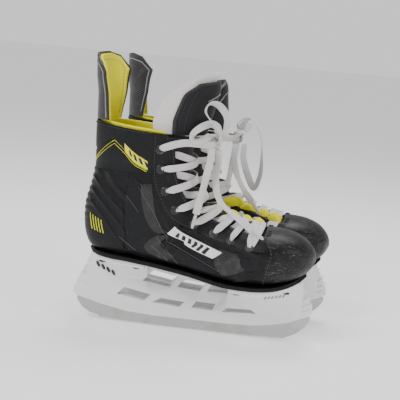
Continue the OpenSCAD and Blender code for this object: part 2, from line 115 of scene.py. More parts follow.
def spline_row(rows: Sequence[Sequence[float]], u: float) -> list[float]:
    """Blend rows smoothly at row number u.

    Args:
        rows: Rows of equal length.
        u: Row number, with a fraction.

    Returns:
        The blended row.
    """
    i = math.floor(u)
    f = u - i
    a, b, c, d = (rows[max(0, min(len(rows) - 1, i + k))] for k in (-1, 0, 1, 2))
    return [
        0.5 * (2 * q + (r - p) * f + (2 * p - 5 * q + 4 * r - s) * f * f + (3 * q - p - 3 * r + s) * f ** 3)
        for p, q, r, s in zip(a, b, c, d)
    ]


def curve_points(route: Sequence[Sequence[float]], count: int) -> list[Vector]:
    """Return count points, evenly spaced in length, on a smooth curve through a route.

    Args:
        route: Its points.
        count: Number of points to return.

    Returns:
        The points.
    """
    fine = [Vector(spline_row(route, (len(route) - 1) * k / (count * 6))) for k in range(count * 6 + 1)]
    lengths = [0.0]
    for a, b in zip(fine, fine[1:]):
        lengths.append(lengths[-1] + (b - a).length)
    points = []
    j = 0
    for k in range(count):
        want = lengths[-1] * k / (count - 1)
        while j < len(lengths) - 2 and lengths[j + 1] < want:
            j += 1
        span = lengths[j + 1] - lengths[j]
        points.append(fine[j].lerp(fine[j + 1], (want - lengths[j]) / span if span else 0.0))
    return points


# ---------------------------------------------------------------- shader bench

class Value:
    """A node's output socket that takes part in Python expressions."""

    def __init__(self, bench: Bench, socket: bpy.types.NodeSocket) -> None:
        """Keep the socket and the bench that its nodes go on."""
        self.bench = bench
        self.socket = socket

    def _math(self, operation: str, *others: Value | float) -> Value:
        """Add one Math node on this value and others."""
        return self.bench.node("ShaderNodeMath", {"operation": operation}, *others)

    def __add__(self, other: Value | float) -> Value:
        """Add."""
        return self._math("ADD", self, other)

    __radd__ = __add__

    def __sub__(self, other: Value | float) -> Value:
        """Subtract."""
        return self._math("SUBTRACT", self, other)

    def __rsub__(self, other: Value | float) -> Value:
        """Subtract from a number."""
        return self._math("SUBTRACT", other, self)

    def __mul__(self, other: Value | float) -> Value:
        """Multiply."""
        return self._math("MULTIPLY", self, other)

    __rmul__ = __mul__

    def __truediv__(self, other: Value | float) -> Value:
        """Divide."""
        return self._math("DIVIDE", self, other)

    def sine(self) -> Value:
        """Return the sine."""
        return self._math("SINE", self)

    def absolute(self) -> Value:
        """Return the size without its sign."""
        return self._math("ABSOLUTE", self)

    def floor(self) -> Value:
        """Round down."""
        return self._math("FLOOR", self)

    def fraction(self) -> Value:
        """Return the part after the point."""
        return self._math("FRACT", self)

    def above(self, edge: float, soft: float = 0.02) -> Value:
        """Return a mask that is 1 above an edge, eased over soft.

        Args:
            edge: Value where the mask is half.
            soft: Half width of the eased step.

        Returns:
            The mask.
        """
        return self.bench.node(
            "ShaderNodeMapRange",
            {"interpolation_type": "SMOOTHSTEP"},
            self, edge - soft, edge + soft, 0.0, 1.0,
        )


class Bench:
    """Builds one material's nodes."""

    def __init__(self, name: str) -> None:
        """Start a material with a Principled shader.

        Args:
            name: Name of the material.
        """
        self.material = bpy.data.materials.new(name)
        self.material.use_nodes = True
        self.tree = self.material.node_tree
        self.shader = self.tree.nodes["Principled BSDF"]

    def node(self, kind: str, settings: dict[str, object], *inputs: object, out: int | str = 0) -> Value:
        """Add a node.

        Args:
            kind: The node's type.
            settings: Properties to set first; "ramp" holds a colour ramp's stops.
            inputs: Values or links for its input sockets, in order; None leaves one alone.
            out: The output to return.

        Returns:
            The output as a value.
        """
        made = self.tree.nodes.new(kind)
        for key, value in settings.items():
            if key == "ramp":
                self._stops(made, value)
            else:
                setattr(made, key, value)
        sockets = [s for s in made.inputs if s.enabled]
        for socket, value in zip(sockets, inputs):
            if isinstance(value, Value):
                self.tree.links.new(value.socket, socket)
            elif value is not None:
                socket.default_value = value
        outputs = [s for s in made.outputs if s.enabled]
        return Value(self, outputs[out] if isinstance(out, int) else made.outputs[out])

    @staticmethod
    def _stops(made: bpy.types.Node, stops: Sequence[tuple[float, tuple[float, ...]]]) -> None:
        """Set a colour ramp's stops.

        Args:
            made: The ramp node.
            stops: Positions with their colours.
        """
        elements = made.color_ramp.elements
        while len(elements) < len(stops):
            elements.new(0.5)
        for element, (position, colour) in zip(elements, stops):
            element.position = position
            element.color = (*colour, 1.0)[:4]

    def place(self, uv: bool = False) -> Value:
        """Return Object coordinates, or the piece's own surface map.

        Args:
            uv: Whether to use the piece's own surface map.

        Returns:
            The coordinates.
        """
        if uv:
            return self.node("ShaderNodeUVMap", {"uv_map": "surface"})
        return self.node("ShaderNodeTexCoord", {}, out="Object")

    def axes(self, vector: Value) -> tuple[Value, Value, Value]:
        """Split a vector.

        Args:
            vector: The vector to split.

        Returns:
            Its three parts.
        """
        made = self.tree.nodes.new("ShaderNodeSeparateXYZ")
        self.tree.links.new(vector.socket, made.inputs[0])
        return tuple(Value(self, s) for s in made.outputs)

    def noise(self, vector: Value, scale: float, detail: float = 3.0, rough: float = 0.55) -> Value:
        """Return fractal noise; scale is in features per metre."""
        return self.node("ShaderNodeTexNoise", {}, vector, scale, detail, rough)

    def colour(self, mask: Value, low: tuple[float, ...], high: tuple[float, ...]) -> Value:
        """Mix two colours by a mask.

        Args:
            mask: Share of the second colour.
            low: First colour.
            high: Second colour.

        Returns:
            The mixed colour.
        """
        return self.node(
            "ShaderNodeMix", {"data_type": "RGBA"}, mask,
            low if isinstance(low, Value) else (*low, 1.0), high if isinstance(high, Value) else (*high, 1.0),
        )

    def finish(
        self,
        base: Value | tuple[float, ...],
        rough: Value | float,
        height: Value | None = None,
        depth_mm: float = 0.1,
        **sockets: object,
    ) -> bpy.types.Material:
        """Wire the shader.

        Args:
            base: Base colour.
            rough: Roughness.
            height: Surface height from 0 to 1, if it has relief.
            depth_mm: What a height of 1 stands for.
            sockets: Other uniform sockets by name, with _ for a space.

        Returns:
            The material.
        """
        def put(name: str, value: object) -> None:
            """Set one socket.

            Args:
                name: Name of the socket.
                value: A link or a uniform value.
            """
            socket = self.shader.inputs[name]
            if isinstance(value, Value):
                self.tree.links.new(value.socket, socket)
            else:
                wide = isinstance(value, tuple) and len(value) == 3 and socket.type == "RGBA"
                socket.default_value = (*value, 1.0) if wide else value

        put("Base Color", base)
        put("Roughness", rough)
        for name, value in sockets.items():
            put(name.replace("_", " "), value)
        if height is not None:
            relief = self.tree.nodes.new("ShaderNodeBump")
            relief.inputs["Strength"].default_value = 1.0
            relief.inputs["Distance"].default_value = depth_mm * MM
            self.tree.links.new(height.socket, relief.inputs["Height"])
            self.tree.links.new(relief.outputs[0], self.shader.inputs["Normal"])
        return self.material


# ---------------------------------------------------------------- finishes

@dataclass(frozen=True)
class Synthetic:
    """Black coated synthetic with a fine grain and dusty wear."""

    name: str = "black_synthetic"
    colour: tuple[float, float, float] = (0.008, 0.0082, 0.009)
    worn: tuple[float, float, float] = (0.045, 0.045, 0.048)
    rough: float = 0.4
    grain_mm: float = 0.05

    def make(self) -> bpy.types.Material:
        """Build the material.

        Returns:
            The material.
        """
        b = Bench(self.name)
        at = b.place()
        grain = b.node("ShaderNodeTexVoronoi", {"feature": "SMOOTH_F1"}, at, 1400.0)
        cloud = b.noise(at, 45.0, 5.0)
        wear = b.noise(at, 160.0, 6.0).above(0.66, 0.12)
        shade = b.colour(cloud, self.colour, tuple(c * 1.7 for c in self.colour))
        base = b.colour(wear * 0.35, shade, self.worn)
        rough = cloud * 0.16 + wear * 0.12 + (self.rough - 0.08)
        return b.finish(base, rough, grain * 0.7 + b.noise(at, 700.0) * 0.3, self.grain_mm,
                        Specular_IOR_Level=0.17)


@dataclass(frozen=True)
class Scuffed:
    """Toe cap plastic with scratches and rubbed patches."""

    name: str = "toe_plastic"

    def make(self) -> bpy.types.Material:
        """Build the material.

        Returns:
            The material.
        """
        b = Bench(self.name)
        at = b.place()
        stretched = b.node("ShaderNodeMapping", {}, at, None, (0.3, 0.9, 0.5), (90.0, 900.0, 700.0))
        scratches = b.noise(stretched, 1.0, 2.0).above(0.64, 0.03)
        rubbed = b.noise(at, 60.0, 6.0, 0.65).above(0.56, 0.14)
        specks = b.noise(at, 900.0, 3.0).above(0.68, 0.05)
        shade = b.colour(rubbed * 0.6, (0.008, 0.008, 0.009), (0.026, 0.026, 0.028))
        marks = scratches * 0.45 + specks * rubbed * 0.5
        base = b.colour(marks, shade, (0.17, 0.17, 0.175))
        rough = rubbed * 0.2 + scratches * 0.2 + 0.4
        height = b.noise(at, 260.0, 4.0) * 0.6 - scratches * 0.4
        return b.finish(base, rough, height, 0.2, Specular_IOR_Level=0.24)


@dataclass(frozen=True)
class CarbonWeave:
    """Black twill pattern under a clear coat."""

    name: str = "carbon_weave"
    cell_mm: float = 2.2
    bright: tuple[float, float, float] = (0.05, 0.05, 0.053)

    def make(self) -> bpy.types.Material:
        """Build the material.

        Returns:
            The material.
        """
        b = Bench(self.name)
        x, y, _ = b.axes(b.place(uv=True))
        s = 1 / (self.cell_mm * MM)
        row = (y * s).floor()
        over = ((x * s + row * 0.25).fraction() - 0.5).above(0.0, 0.06)
        strands = ((x * s * 6.283 * 3).sine() * 0.5 + 0.5) * over + ((y * s * 6.283 * 3).sine() * 0.5
                                                                     + 0.5) * (1 - over)
        dust = b.noise(b.place(), 140.0, 4.0).above(0.6, 0.15)
        weave = b.colour(over, (0.008, 0.008, 0.009), self.bright)
        base = b.colour(dust * 0.25, weave, (0.11, 0.11, 0.11))
        rough = 0.34 + over * 0.14 + dust * 0.1
        return b.finish(base, rough, strands * 0.5 + over * 0.5, 0.06, Coat_Weight=0.2,
                        Specular_IOR_Level=0.22)


@dataclass(frozen=True)
class MouldedWhite:
    """Glossy white moulded plastic, faintly marked."""

    name: str = "white_plastic"

    def make(self) -> bpy.types.Material:
        """Build the material.

        Returns:
            The material.
        """
        b = Bench(self.name)
        at = b.place()
        long_marks = b.node("ShaderNodeMapping", {}, at, None, (0.0, 0.25, 0.0), (40.0, 400.0, 700.0))
        scuff = b.noise(long_marks, 1.0, 3.0).above(0.68, 0.06)
        tint = b.noise(at, 22.0, 4.0)
        base = b.colour(scuff * 0.3, b.colour(tint, (0.80, 0.805, 0.80), (0.86, 0.865, 0.86)),
                        (0.5, 0.5, 0.48))
        rough = tint * 0.1 + scuff * 0.25 + 0.2
        return b.finish(base, rough, b.noise(at, 300.0, 3.0), 0.02, Specular_IOR_Level=0.5,
                        Subsurface_Weight=0.06, Subsurface_Radius=(1.0, 1.0, 1.0), Subsurface_Scale=0.002)


@dataclass(frozen=True)
class Steel:
    """Ground steel with fine marks along its length."""

    name: str = "ground_steel"
    tint: tuple[float, float, float] = (0.40, 0.40, 0.395)
    rough: float = 0.2
    along: tuple[float, float, float] = (30.0, 900.0, 3000.0)

    def make(self) -> bpy.types.Material:
        """Build the material.

        Returns:
            The material.
        """
        b = Bench(self.name)
        at = b.place()
        lines = b.noise(b.node("ShaderNodeMapping", {}, at, None, None, self.along), 1.0, 3.0)
        stain = b.noise(at, 50.0, 5.0).above(0.62, 0.12)
        base = b.colour(stain * 0.35, b.colour(lines, self.tint, tuple(c * 1.22 for c in self.tint)),
                        (0.32, 0.30, 0.27))
        return b.finish(base, lines * 0.16 + stain * 0.15 + self.rough, lines, 0.008, Metallic=1.0)


@dataclass(frozen=True)
class Cloth:
    """Woven or knitted fabric with a soft nap."""

    name: str
    colour: tuple[float, float, float]
    shade: tuple[float, float, float]
    thread_mm: float = 0.8
    relief_mm: float = 0.12
    sheen: float = 0.25

    def make(self) -> bpy.types.Material:
        """Build the material.

        Returns:
            The material.
        """
        b = Bench(self.name)
        x, y, _ = b.axes(b.place(uv=True))
        turn = 6.283 / (self.thread_mm * MM)
        weave = (x * turn).sine() * (y * turn).sine() * 0.5 + 0.5
        at = b.place()
        cloud = b.noise(at, 60.0, 5.0)
        fuzz = b.noise(at, 1800.0, 2.0)
        base = b.colour(weave * 0.5 + cloud * 0.5, self.shade, self.colour)
        return b.finish(base, cloud * 0.1 + 0.78, weave * 0.7 + fuzz * 0.3, self.relief_mm,
                        Sheen_Weight=self.sheen, Sheen_Roughness=0.5, Specular_IOR_Level=0.25)


@dataclass(frozen=True)
class Felt:
    """Thick white felt with loose fibres and faint soiling."""

    name: str = "white_felt"
    colour: tuple[float, float, float] = (0.82, 0.79, 0.77)

    def make(self) -> bpy.types.Material:
        """Build the material.

        Returns:
            The material.
        """
        b = Bench(self.name)
        at = b.place()
        fibre = b.noise(at, 900.0, 6.0, 0.7)
        lump = b.noise(at, 160.0, 4.0)
        soil = b.noise(at, 420.0, 5.0).above(0.63, 0.1)
        base = b.colour(soil * 0.4, b.colour(fibre, tuple(c * 0.7 for c in self.colour), self.colour),
                        (0.5, 0.47, 0.45))
        return b.finish(base, 0.95, fibre * 0.6 + lump * 0.6, 0.5, Sheen_Weight=0.4, Sheen_Roughness=0.6,
                        Specular_IOR_Level=0.1)


@dataclass(frozen=True)
class LaceWeave:
    """Flat tubular lace: slanting picks across, ridges along."""

    name: str = "lace_weave"
    colour: tuple[float, float, float] = (0.83, 0.80, 0.79)

    def make(self) -> bpy.types.Material:
        """Build the material.

        Returns:
            The material.
        """
        b = Bench(self.name)
        x, y, _ = b.axes(b.place(uv=True))
        rib = (y * (6.283 / (0.9 * MM))).sine() * 0.5 + 0.5
        picks = ((x + (y * (6.283 / (1.8 * MM))).sine() * 0.0003) * (6.283 / (1.1 * MM))).sine() * 0.5 + 0.5
        at = b.place()
        cloud = b.noise(at, 70.0, 4.0)
        weave = rib * 0.5 + picks * 0.5
        # The darker end, two-thirds of the lace colour, is painted grey shade laid over the weave's grooves
        # and noise patches, partly the weave's own tone.
        base = b.colour(weave * 0.45 + cloud * 0.55, tuple(c * 0.66 for c in self.colour), self.colour)
        return b.finish(base, 0.85, weave, 0.2, Sheen_Weight=0.3, Sheen_Roughness=0.5,
                        Specular_IOR_Level=0.2)


@dataclass(frozen=True)
class Film:
    """Printed film: a tint with an optional row of slanting bars."""

    name: str
    colour: tuple[float, float, float]
    bars: bool = False

    def make(self) -> bpy.types.Material:
        """Build the material.

        Returns:
            The material.
        """
        b = Bench(self.name)
        x, y, _ = b.axes(b.place(uv=True))
        cloud = b.noise(b.place(), 300.0, 4.0)
        base = b.colour(cloud, tuple(c * 0.93 for c in self.colour), self.colour)
        if self.bars:
            stripe = ((x + y * 0.5) / 0.0065).fraction()
            inside = ((y - 0.0052).absolute() * -1.0 + 0.0026).above(0.0, 0.0002)
            ends = ((x - 0.026).absolute() * -1.0 + 0.019).above(0.0, 0.0004)
            base = b.colour(stripe.above(0.45, 0.03) * inside * ends, base, (0.012, 0.012, 0.013))
        return b.finish(base, cloud * 0.1 + 0.33, cloud, 0.02)


@dataclass(frozen=True)
class Plain:
    """Small hard trim with a light mottle."""

    name: str
    colour: tuple[float, float, float]
    rough: float = 0.4
    metal: float = 0.0
    clear: float = 1.0

    def make(self) -> bpy.types.Material:
        """Build the material.

        Returns:
            The material.
        """
        b = Bench(self.name)
        at = b.place()
        cloud = b.noise(at, 400.0, 4.0)
        base = b.colour(cloud, tuple(c * 0.8 for c in self.colour), self.colour)
        return b.finish(base, cloud * 0.2 + (self.rough - 0.1), cloud, 0.03, Metallic=self.metal,
                        Alpha=self.clear)


class Finishes:
    """Every finish, made once."""

    def __init__(self) -> None:
        """Make the finishes."""
        self.upper = Synthetic().make()
        self.cuff = Synthetic("cuff_synthetic", (0.01, 0.0103, 0.011), rough=0.48, grain_mm=0.03).make()
        self.facing = Synthetic("facing_synthetic", (0.009, 0.0092, 0.0098), rough=0.46, grain_mm=0.07).make()
        self.sole = Synthetic("sole_plastic", (0.006, 0.006, 0.0065), rough=0.45, grain_mm=0.03).make()
        self.toe = Scuffed().make()
        self.guard = CarbonWeave().make()
        self.mesh_band = CarbonWeave("mesh_band", 1.5, (0.035, 0.035, 0.037)).make()
        self.holder = MouldedWhite().make()
        self.blade = Steel().make()
        self.dark_metal = Steel("dark_metal", (0.05, 0.05, 0.052), 0.3, (300.0, 300.0, 300.0)).make()
        self.hardware = Steel("plain_steel", (0.42, 0.42, 0.43), 0.3, (200.0, 200.0, 900.0)).make()
        self.yellow = Cloth("yellow_lining", (0.88, 0.82, 0.012), (0.74, 0.68, 0.008), 0.7, 0.06, 0.05).make()
        self.liner = Cloth("dark_liner", (0.03, 0.03, 0.032), (0.015, 0.015, 0.016), 1.1).make()
        self.tongue = Cloth("tongue_fabric", (0.02, 0.02, 0.022), (0.01, 0.01, 0.011), 0.9, 0.06, 0.1).make()
        self.felt = Felt().make()
        self.lace = LaceWeave().make()
        self.white_film = Film("white_badge", (0.84, 0.84, 0.84), True).make()
        self.yellow_film = Film("yellow_badge", (0.82, 0.78, 0.04), True).make()
        self.lime = Plain("lime_piping", (0.75, 0.76, 0.02), 0.5).make()
        self.thread = Plain("black_thread", (0.05, 0.05, 0.052), 0.7).make()
        self.grey_line = Plain("grey_line", (0.30, 0.31, 0.31), 0.45).make()
        # Grey of the thin raised lines: partly trim colour, partly painted highlight along the moulded
        # ridges.
        self.dim_line = Plain("dim_line", (0.09, 0.09, 0.095), 0.35).make()
        self.binding = Plain("black_binding", (0.02, 0.02, 0.021), 0.65).make()
        self.mark = Plain("dark_mark", (0.02, 0.02, 0.02), 0.4).make()
        self.board = Plain("fibre_board", (0.35, 0.28, 0.2), 0.8).make()
        self.tip = Plain("clear_tip", (0.75, 0.75, 0.73), 0.25, clear=0.75).make()


# ---------------------------------------------------------------- mesh bench

def only(piece: bpy.types.Object) -> None:
    """Select one object and make it active.

    Args:
        piece: The object.
    """
    bpy.ops.object.select_all(action="DESELECT")
    piece.select_set(True)
    bpy.context.view_layer.objects.active = piece


def apply(piece: bpy.types.Object, kind: str, **settings: object) -> None:
    """Add a modifier with its settings and apply it.

    Args:
        piece: The object.
        kind: The modifier's type.
        settings: Its settings by name.
    """
    only(piece)
    made = piece.modifiers.new(kind.lower(), kind)
    for key, value in settings.items():
        setattr(made, key, value)
    bpy.ops.object.modifier_apply(modifier=made.name)


def soften(piece: bpy.types.Object, degrees: float = 38.0) -> None:
    """Shade a piece smooth, with creases past an angle."""
    only(piece)
    bpy.ops.object.shade_smooth_by_angle(angle=math.radians(degrees))


def mesh_object(name: str, points: Sequence[Vector], faces: Sequence[Sequence[int]],
                surface: Sequence[Uv] | None = None) -> bpy.types.Object:
    """Make an object from points in millimetres.

    Args:
        name: Its name.
        points: Vertices.
        faces: Vertex numbers of each face.
        surface: One surface coordinate a vertex, in metres.

    Returns:
        The object, at the origin.
    """
    mesh = bpy.data.meshes.new(name)
    mesh.from_pydata([tuple(p * MM) for p in points], [], faces)
    if surface:
        layer = mesh.uv_layers.new(name="surface")
        for loop in mesh.loops:
            layer.data[loop.index].uv = surface[loop.vertex_index]
    made = bpy.data.objects.new(name, mesh)
    bpy.context.scene.collection.objects.link(made)
    return made


def grid_object(name: str, rows: Sequence[Sequence[Vector]], closed: bool = False,
                outward: Vector | None = None) -> bpy.types.Object:
    """Make a sheet from rows of points, with a surface map in metres.

    Args:
        name: Its name.
        rows: Points in millimetres.
        closed: Whether each row's end joins its start.
        outward: The way that the first face points.

    Returns:
        The sheet.
    """
    n, m = len(rows), len(rows[0])
    middle = rows[n // 2]
    across = [0.0]
    for a, b in zip(middle, middle[1:]):
        across.append(across[-1] + (b - a).length * MM)
    along = [0.0]
    for i in range(1, n):
        along.append(along[-1] + (rows[i][m // 2] - rows[i - 1][m // 2]).length * MM)
    points = [p for row in rows for p in row]
    surface = [(along[i], across[j]) for i in range(n) for j in range(m)]
    faces = []
    for i in range(n - 1):
        for j in range(m if closed else m - 1):
            k = (j + 1) % m
            faces.append((i * m + j, i * m + k, (i + 1) * m + k, (i + 1) * m + j))
    if outward is not None:
        i, j = n // 2, m // 2
        a, b, c = rows[i][j], rows[i][(j + 1) % m], rows[i - 1][j]
        if (b - a).cross(a - c).dot(outward) < 0:
            faces = [tuple(reversed(f)) for f in faces]
    return mesh_object(name, points, faces, surface)


def join(pieces: Sequence[bpy.types.Object], name: str) -> bpy.types.Object:
    """Join objects into one.

    Args:
        pieces: Objects to join.
        name: Name of the result.

    Returns:
        The joined object.
    """
    bpy.ops.object.select_all(action="DESELECT")
    for piece in pieces:
        piece.select_set(True)
    bpy.context.view_layer.objects.active = pieces[0]
    bpy.ops.object.join()
    pieces[0].name = name
    return pieces[0]


def rod(name: str, route: Sequence[Vector], radius: float, sides: int = 8, flat: float = 1.0,
        ups: Sequence[Vector] | None = None, taper: bool = True,
        sizes: Sequence[float] | None = None) -> bpy.types.Object:
    """Make a closed round or flattened rod along a route in millimetres.

    Args:
        name: Its name.
        route: Points along it.
        radius: Half its width.
        sides: Sides round it.
        flat: Thickness as a share of width.
        ups: The way that its flat side faces at each point.
        taper: Whether its ends round off.
        sizes: Share of the radius at each point.

    Returns:
        The rod.
    """
    n = len(route)
    rows = []
    for i, p in enumerate(route):
        along = (route[min(i + 1, n - 1)] - route[max(i - 1, 0)]).normalized()
        up = (ups[i] if ups else Vector((0.05, 0.1, 1.0)))
        up = (up - along * up.dot(along)).normalized()
        side = along.cross(up)
        size = radius * (0.55 if taper and i in (0, n - 1) else 1.0) * (sizes[i] if sizes else 1.0)
        row = []
        for k in range(sides):
            a = 2 * math.pi * k / sides
            c, s = math.cos(a), math.sin(a)
            if flat < 1.0:
                c, s = math.copysign(abs(c) ** 0.6, c), math.copysign(abs(s) ** 0.8, s)
            row.append(p + side * (size * c) + up * (size * flat * s))
        rows.append(row)
    made = grid_object(name, rows, closed=True)
    mesh = made.data
    only(made)
    bpy.ops.object.mode_set(mode="EDIT")
    bpy.ops.mesh.select_all(action="DESELECT")
    bpy.ops.mesh.select_non_manifold()
    bpy.ops.mesh.edge_face_add()
    bpy.ops.mesh.select_all(action="SELECT")
    bpy.ops.mesh.normals_make_consistent(inside=False)
    bpy.ops.object.mode_set(mode="OBJECT")
    mesh.update()
    return made


def stitches(name: str, route: Sequence[Vector], ups: Sequence[Vector], pitch: float = 3.0,
             long: float = 2.1, thick: float = 0.42) -> bpy.types.Object:
    """Make a row of thread stitches along a route on a surface.

    Args:
        name: Its name.
        route: Closely spaced points.
        ups: The surface's normal at each.
        pitch: From stitch to stitch.
        long: A stitch's length.
        thick: Half the thread's thickness.

    Returns:
        The row.
    """
    points: list[Vector] = []
    faces: list[tuple[int, ...]] = []
    travelled, wanted = 0.0, pitch / 2
    for i in range(len(route) - 1):
        step = (route[i + 1] - route[i]).length
        while travelled + step >= wanted and step > 0:
            at = route[i].lerp(route[i + 1], (wanted - travelled) / step)
            along = (route[i + 1] - route[i]).normalized()
            up = ups[i]
            side = along.cross(up).normalized()
            base = len(points)
            for where, size in ((-0.5, 0.35), (-0.28, 1.0), (0.28, 1.0), (0.5, 0.35)):
                rise = 0.0 if abs(where) == 0.5 else thick * 0.7
                for k in range(4):
                    a = math.pi / 4 + k * math.pi / 2
                    points.append(at + along * (long * where) + side * (math.cos(a) * thick * size)
                                  + up * (rise + math.sin(a) * thick * size))
            faces.append((base, base + 1, base + 2, base + 3))
            faces.append((base + 15, base + 14, base + 13, base + 12))
            for r in range(3):
                for k in range(4):
                    a, c = base + r * 4 + k, base + r * 4 + (k + 1) % 4
                    faces.append((a, a + 4, c + 4, c))
            wanted += pitch
        travelled += step
    return mesh_object(name, points, faces, [(0.0, 0.0)] * len(points))


# ---------------------------------------------------------------- the last

@dataclass
class Last:
    """The boot's outer form: sections fan out from the collar, round the heel and along to the toe."""

    ride: float = 57.0
    sections: list[tuple[float, ...]] = field(default_factory=lambda: [
        (-111, 146, -8, 140, 32, 2.3, 2.3), (-109, 108, -12, 109, 33, 2.3, 2.3),
        (-111, 86, -9, 92, 34, 2.3, 2.3), (-116, 61, 1, 80, 33, 2.4, 2.3),
        (-114.5, 36, 11, 72, 32, 2.6, 2.2), (-106, 20, 19, 67.5, 31, 3, 2.2),
        (-88, 16, 26, 64, 31, 3.4, 2.2), (-66, 14.5, 34, 61, 31, 3.6, 2.2),
        (-36, 11, 42, 58, 33, 3.6, 2.2), (-4, 6.5, 50, 56, 37, 3.6, 2.2),
        (30, 0.5, 60, 54, 41, 3.6, 2.3), (60, 0, 72, 54, 42, 3.4, 2.5),
        (82, 2.5, 89, 52.5, 39, 3.2, 2.6), (99, 8, 103, 48, 32, 3, 2.6),
        (109, 14, 112, 41, 22, 2.6, 2.4), (114.5, 20, 116.5, 34, 11, 2.3, 2.3),
        (117.5, 26, 117.7, 28, 2, 2, 2),
    ])
    tongue: list[tuple[float, ...]] = field(default_factory=lambda: [
        (-62, 185, 4, 201, 22, 2.3, 2.3), (-82, 171, 8.5, 189, 27, 2.3, 2.3),
        (-90, 158, 6, 173, 29, 2.3, 2.3), (-98, 147, 2, 155, 28, 2.3, 2.3),
        (-100, 136, -2, 139, 25, 2.3, 2.3),
    ])
    throat: tuple[Uv, ...] = ((0, 0.67), (1, 0.73), (2, 0.755), (3.4, 0.755), (5, 0.78), (9, 0.79),
                              (11, 0.79))
    facing_low: tuple[Uv, ...] = ((0, 0.54), (1, 0.56), (2, 0.575), (4, 0.60), (5.4, 0.62), (7.7, 0.595),
                                  (11, 0.58))
    heel_front: tuple[Uv, ...] = ((1.4, 0.45), (5, 0.42), (7, 0.24), (8, 0.10))
    liner_front: tuple[Uv, ...] = ((0, 0.50), (1, 0.55), (2, 0.62), (4, 0.66), (11, 0.68))
    liner_low: tuple[Uv, ...] = ((0, 0), (4.2, 0), (6, 0.15), (11, 0.16), (15, 0.18))
    tongue_edge: tuple[Uv, ...] = ((0, 0.70), (0.35, 0.648), (0.7, 0.61), (1.1, 0.585), (1.6, 0.573),
                                   (2.2, 0.572),
                                   (3, 0.576), (4, 0.60))
    eyelet_u: tuple[float, ...] = (0.57, 1.16, 2.4, 3.7, 5.7, 7.6, 8.9, 10.06)
    eyelet_v: tuple[float, ...] = (0.60, 0.6175, 0.635, 0.65, 0.665, 0.65, 0.635, 0.62)
    cuff_end: float = 1.4
    heel_end: float = 8.0
    cap_start: float = 11.2
    cap_start_top: float = 10.6
    cap_end: float = 16.0
    wall: float = 2.4
    liner_t: float = 3.6

    def point(self, u: float, v: float, rows: Sequence[tuple[float, ...]] | None = None) -> Vector:
        """Return the surface point at section u and girth share v, in millimetres.

        Args:
            u: Section number.
            v: Share of the girth.
            rows: Section rows, if not the boot's.

        Returns:
            The point in millimetres.
        """
        w = v - 2 if v > 1 else v + 2 if v < -1 else v
        bx, bz, fx, fz, half, low_power, high_power = spline_row(rows or self.sections, u)
        c = math.cos(math.pi * w)
        power = 2 / (low_power if c > 0 else high_power)
        t = 0.5 - 0.5 * math.copysign(abs(c) ** power, c)
        y = math.copysign(half * abs(math.sin(math.pi * w)) ** power, w)
        return Vector((mix(bx, fx, t), y, self.ride + mix(bz, fz, t)))

    def normal(self, u: float, v: float, rows: Sequence[tuple[float, ...]] | None = None) -> Vector:
        """Return the way out of the surface.

        Args:
            u: Section number.
            v: Share of the girth.
            rows: Section rows, if not the boot's.

        Returns:
            A unit vector.
        """
        du = self.point(u + 0.03, v, rows) - self.point(u - 0.03, v, rows)
        dv = self.point(u, v + 0.01, rows) - self.point(u, v - 0.01, rows)
        return dv.cross(du).normalized()

    def at(self, u: float, v: float, lift: float, rows: Sequence[tuple[float, ...]] | None = None) -> Vector:
        """Return a point at a height over the surface."""
        return self.point(u, v, rows) + self.normal(u, v, rows) * lift


@dataclass
class Skate:
    """Where one skate of the pair stands."""

    name: str
    turn: float
    dx: float
    dy: float

    def world(self, p: Vector) -> Vector:
        """Move a point from the skate's own frame to the pair's, in millimetres."""
        return Vector((p.x + self.dx, self.turn * p.y + self.dy, p.z))


class Pair:
    """Sets each finished piece on both skates."""

    def __init__(self, finishes: Finishes) -> None:
        """Read the skates' places from the frame.

        Args:
            finishes: Every finish.
        """
        self.finishes = finishes
        self.skates = []
        for name, turn in (("right", 1.0), ("left", -1.0)):
            low, high = (Vector(c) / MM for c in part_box(f"{name}_blade"))
            middle = (low + high) / 2
            self.skates.append(Skate(name, turn, middle.x + 0.1, middle.y))

    def seat(self, blank: bpy.types.Object, skate: Skate, stem: str, body: str, slot: str,
             material: bpy.types.Material | Sequence[bpy.types.Material],
             nodes: Sequence[str] = ()) -> bpy.types.Object:
        """Copy a piece onto one skate.

        Args:
            blank: The piece in the skate's own frame.
            skate: The skate.
            stem: The piece's name.
            body: The body that it rides on, without the side.
            slot: The record's material slot; not used.
            material: Its finish or finishes.
            nodes: The CAD nodes that it stands for, without the side.

        Returns:
            The new piece.
        """
        made = blank.copy()
        made.data = blank.data.copy()
        made.name = f"{skate.name}_{stem}.look"
        bpy.context.scene.collection.objects.link(made)
        shift = Matrix.Translation(Vector((skate.dx, skate.dy, 0)) * MM)
        made.data.transform(shift @ Matrix.Diagonal((1.0, skate.turn, 1.0, 1.0)))
        if skate.turn < 0:
            made.data.flip_normals()
        made.data.materials.clear()
        for one in material if isinstance(material, (list, tuple)) else [material]:
            made.data.materials.append(one)
        if nodes:
            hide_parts(*[f"{skate.name}_{node}" for node in nodes])
        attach(made, f"{skate.name}_{body}")
        return made

    def dress(self, blank: bpy.types.Object, stem: str, body: str, slot: str,
              material: bpy.types.Material | Sequence[bpy.types.Material],
              nodes: Sequence[str] = ()) -> list[bpy.types.Object]:
        """Copy a piece onto both skates and drop the blank; the arguments are seat's.

        Args:
            blank: The piece to copy.
            stem: Name, less the side.
            body: Body that it rides on.
            slot: Material slot.
            material: Its finish or finishes.
            nodes: CAD nodes that it stands for.

        Returns:
            The new pieces, right and then left.
        """
        made = [self.seat(blank, skate, stem, body, slot, material, nodes) for skate in self.skates]
        bpy.data.objects.remove(blank)
        log.info("%s: %d faces a skate", stem, len(made[0].data.polygons))
        return made

    def pad(self, blank: bpy.types.Object, stem: str, body: str, slot: str, material: bpy.types.Material,
            nodes: Sequence[str] = ()) -> None:
        """Copy a padded piece onto both skates; the arguments are seat's."""
        for piece in self.dress(blank, stem, body, slot, material, nodes):
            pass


# ---------------------------------------------------------------- surface relief

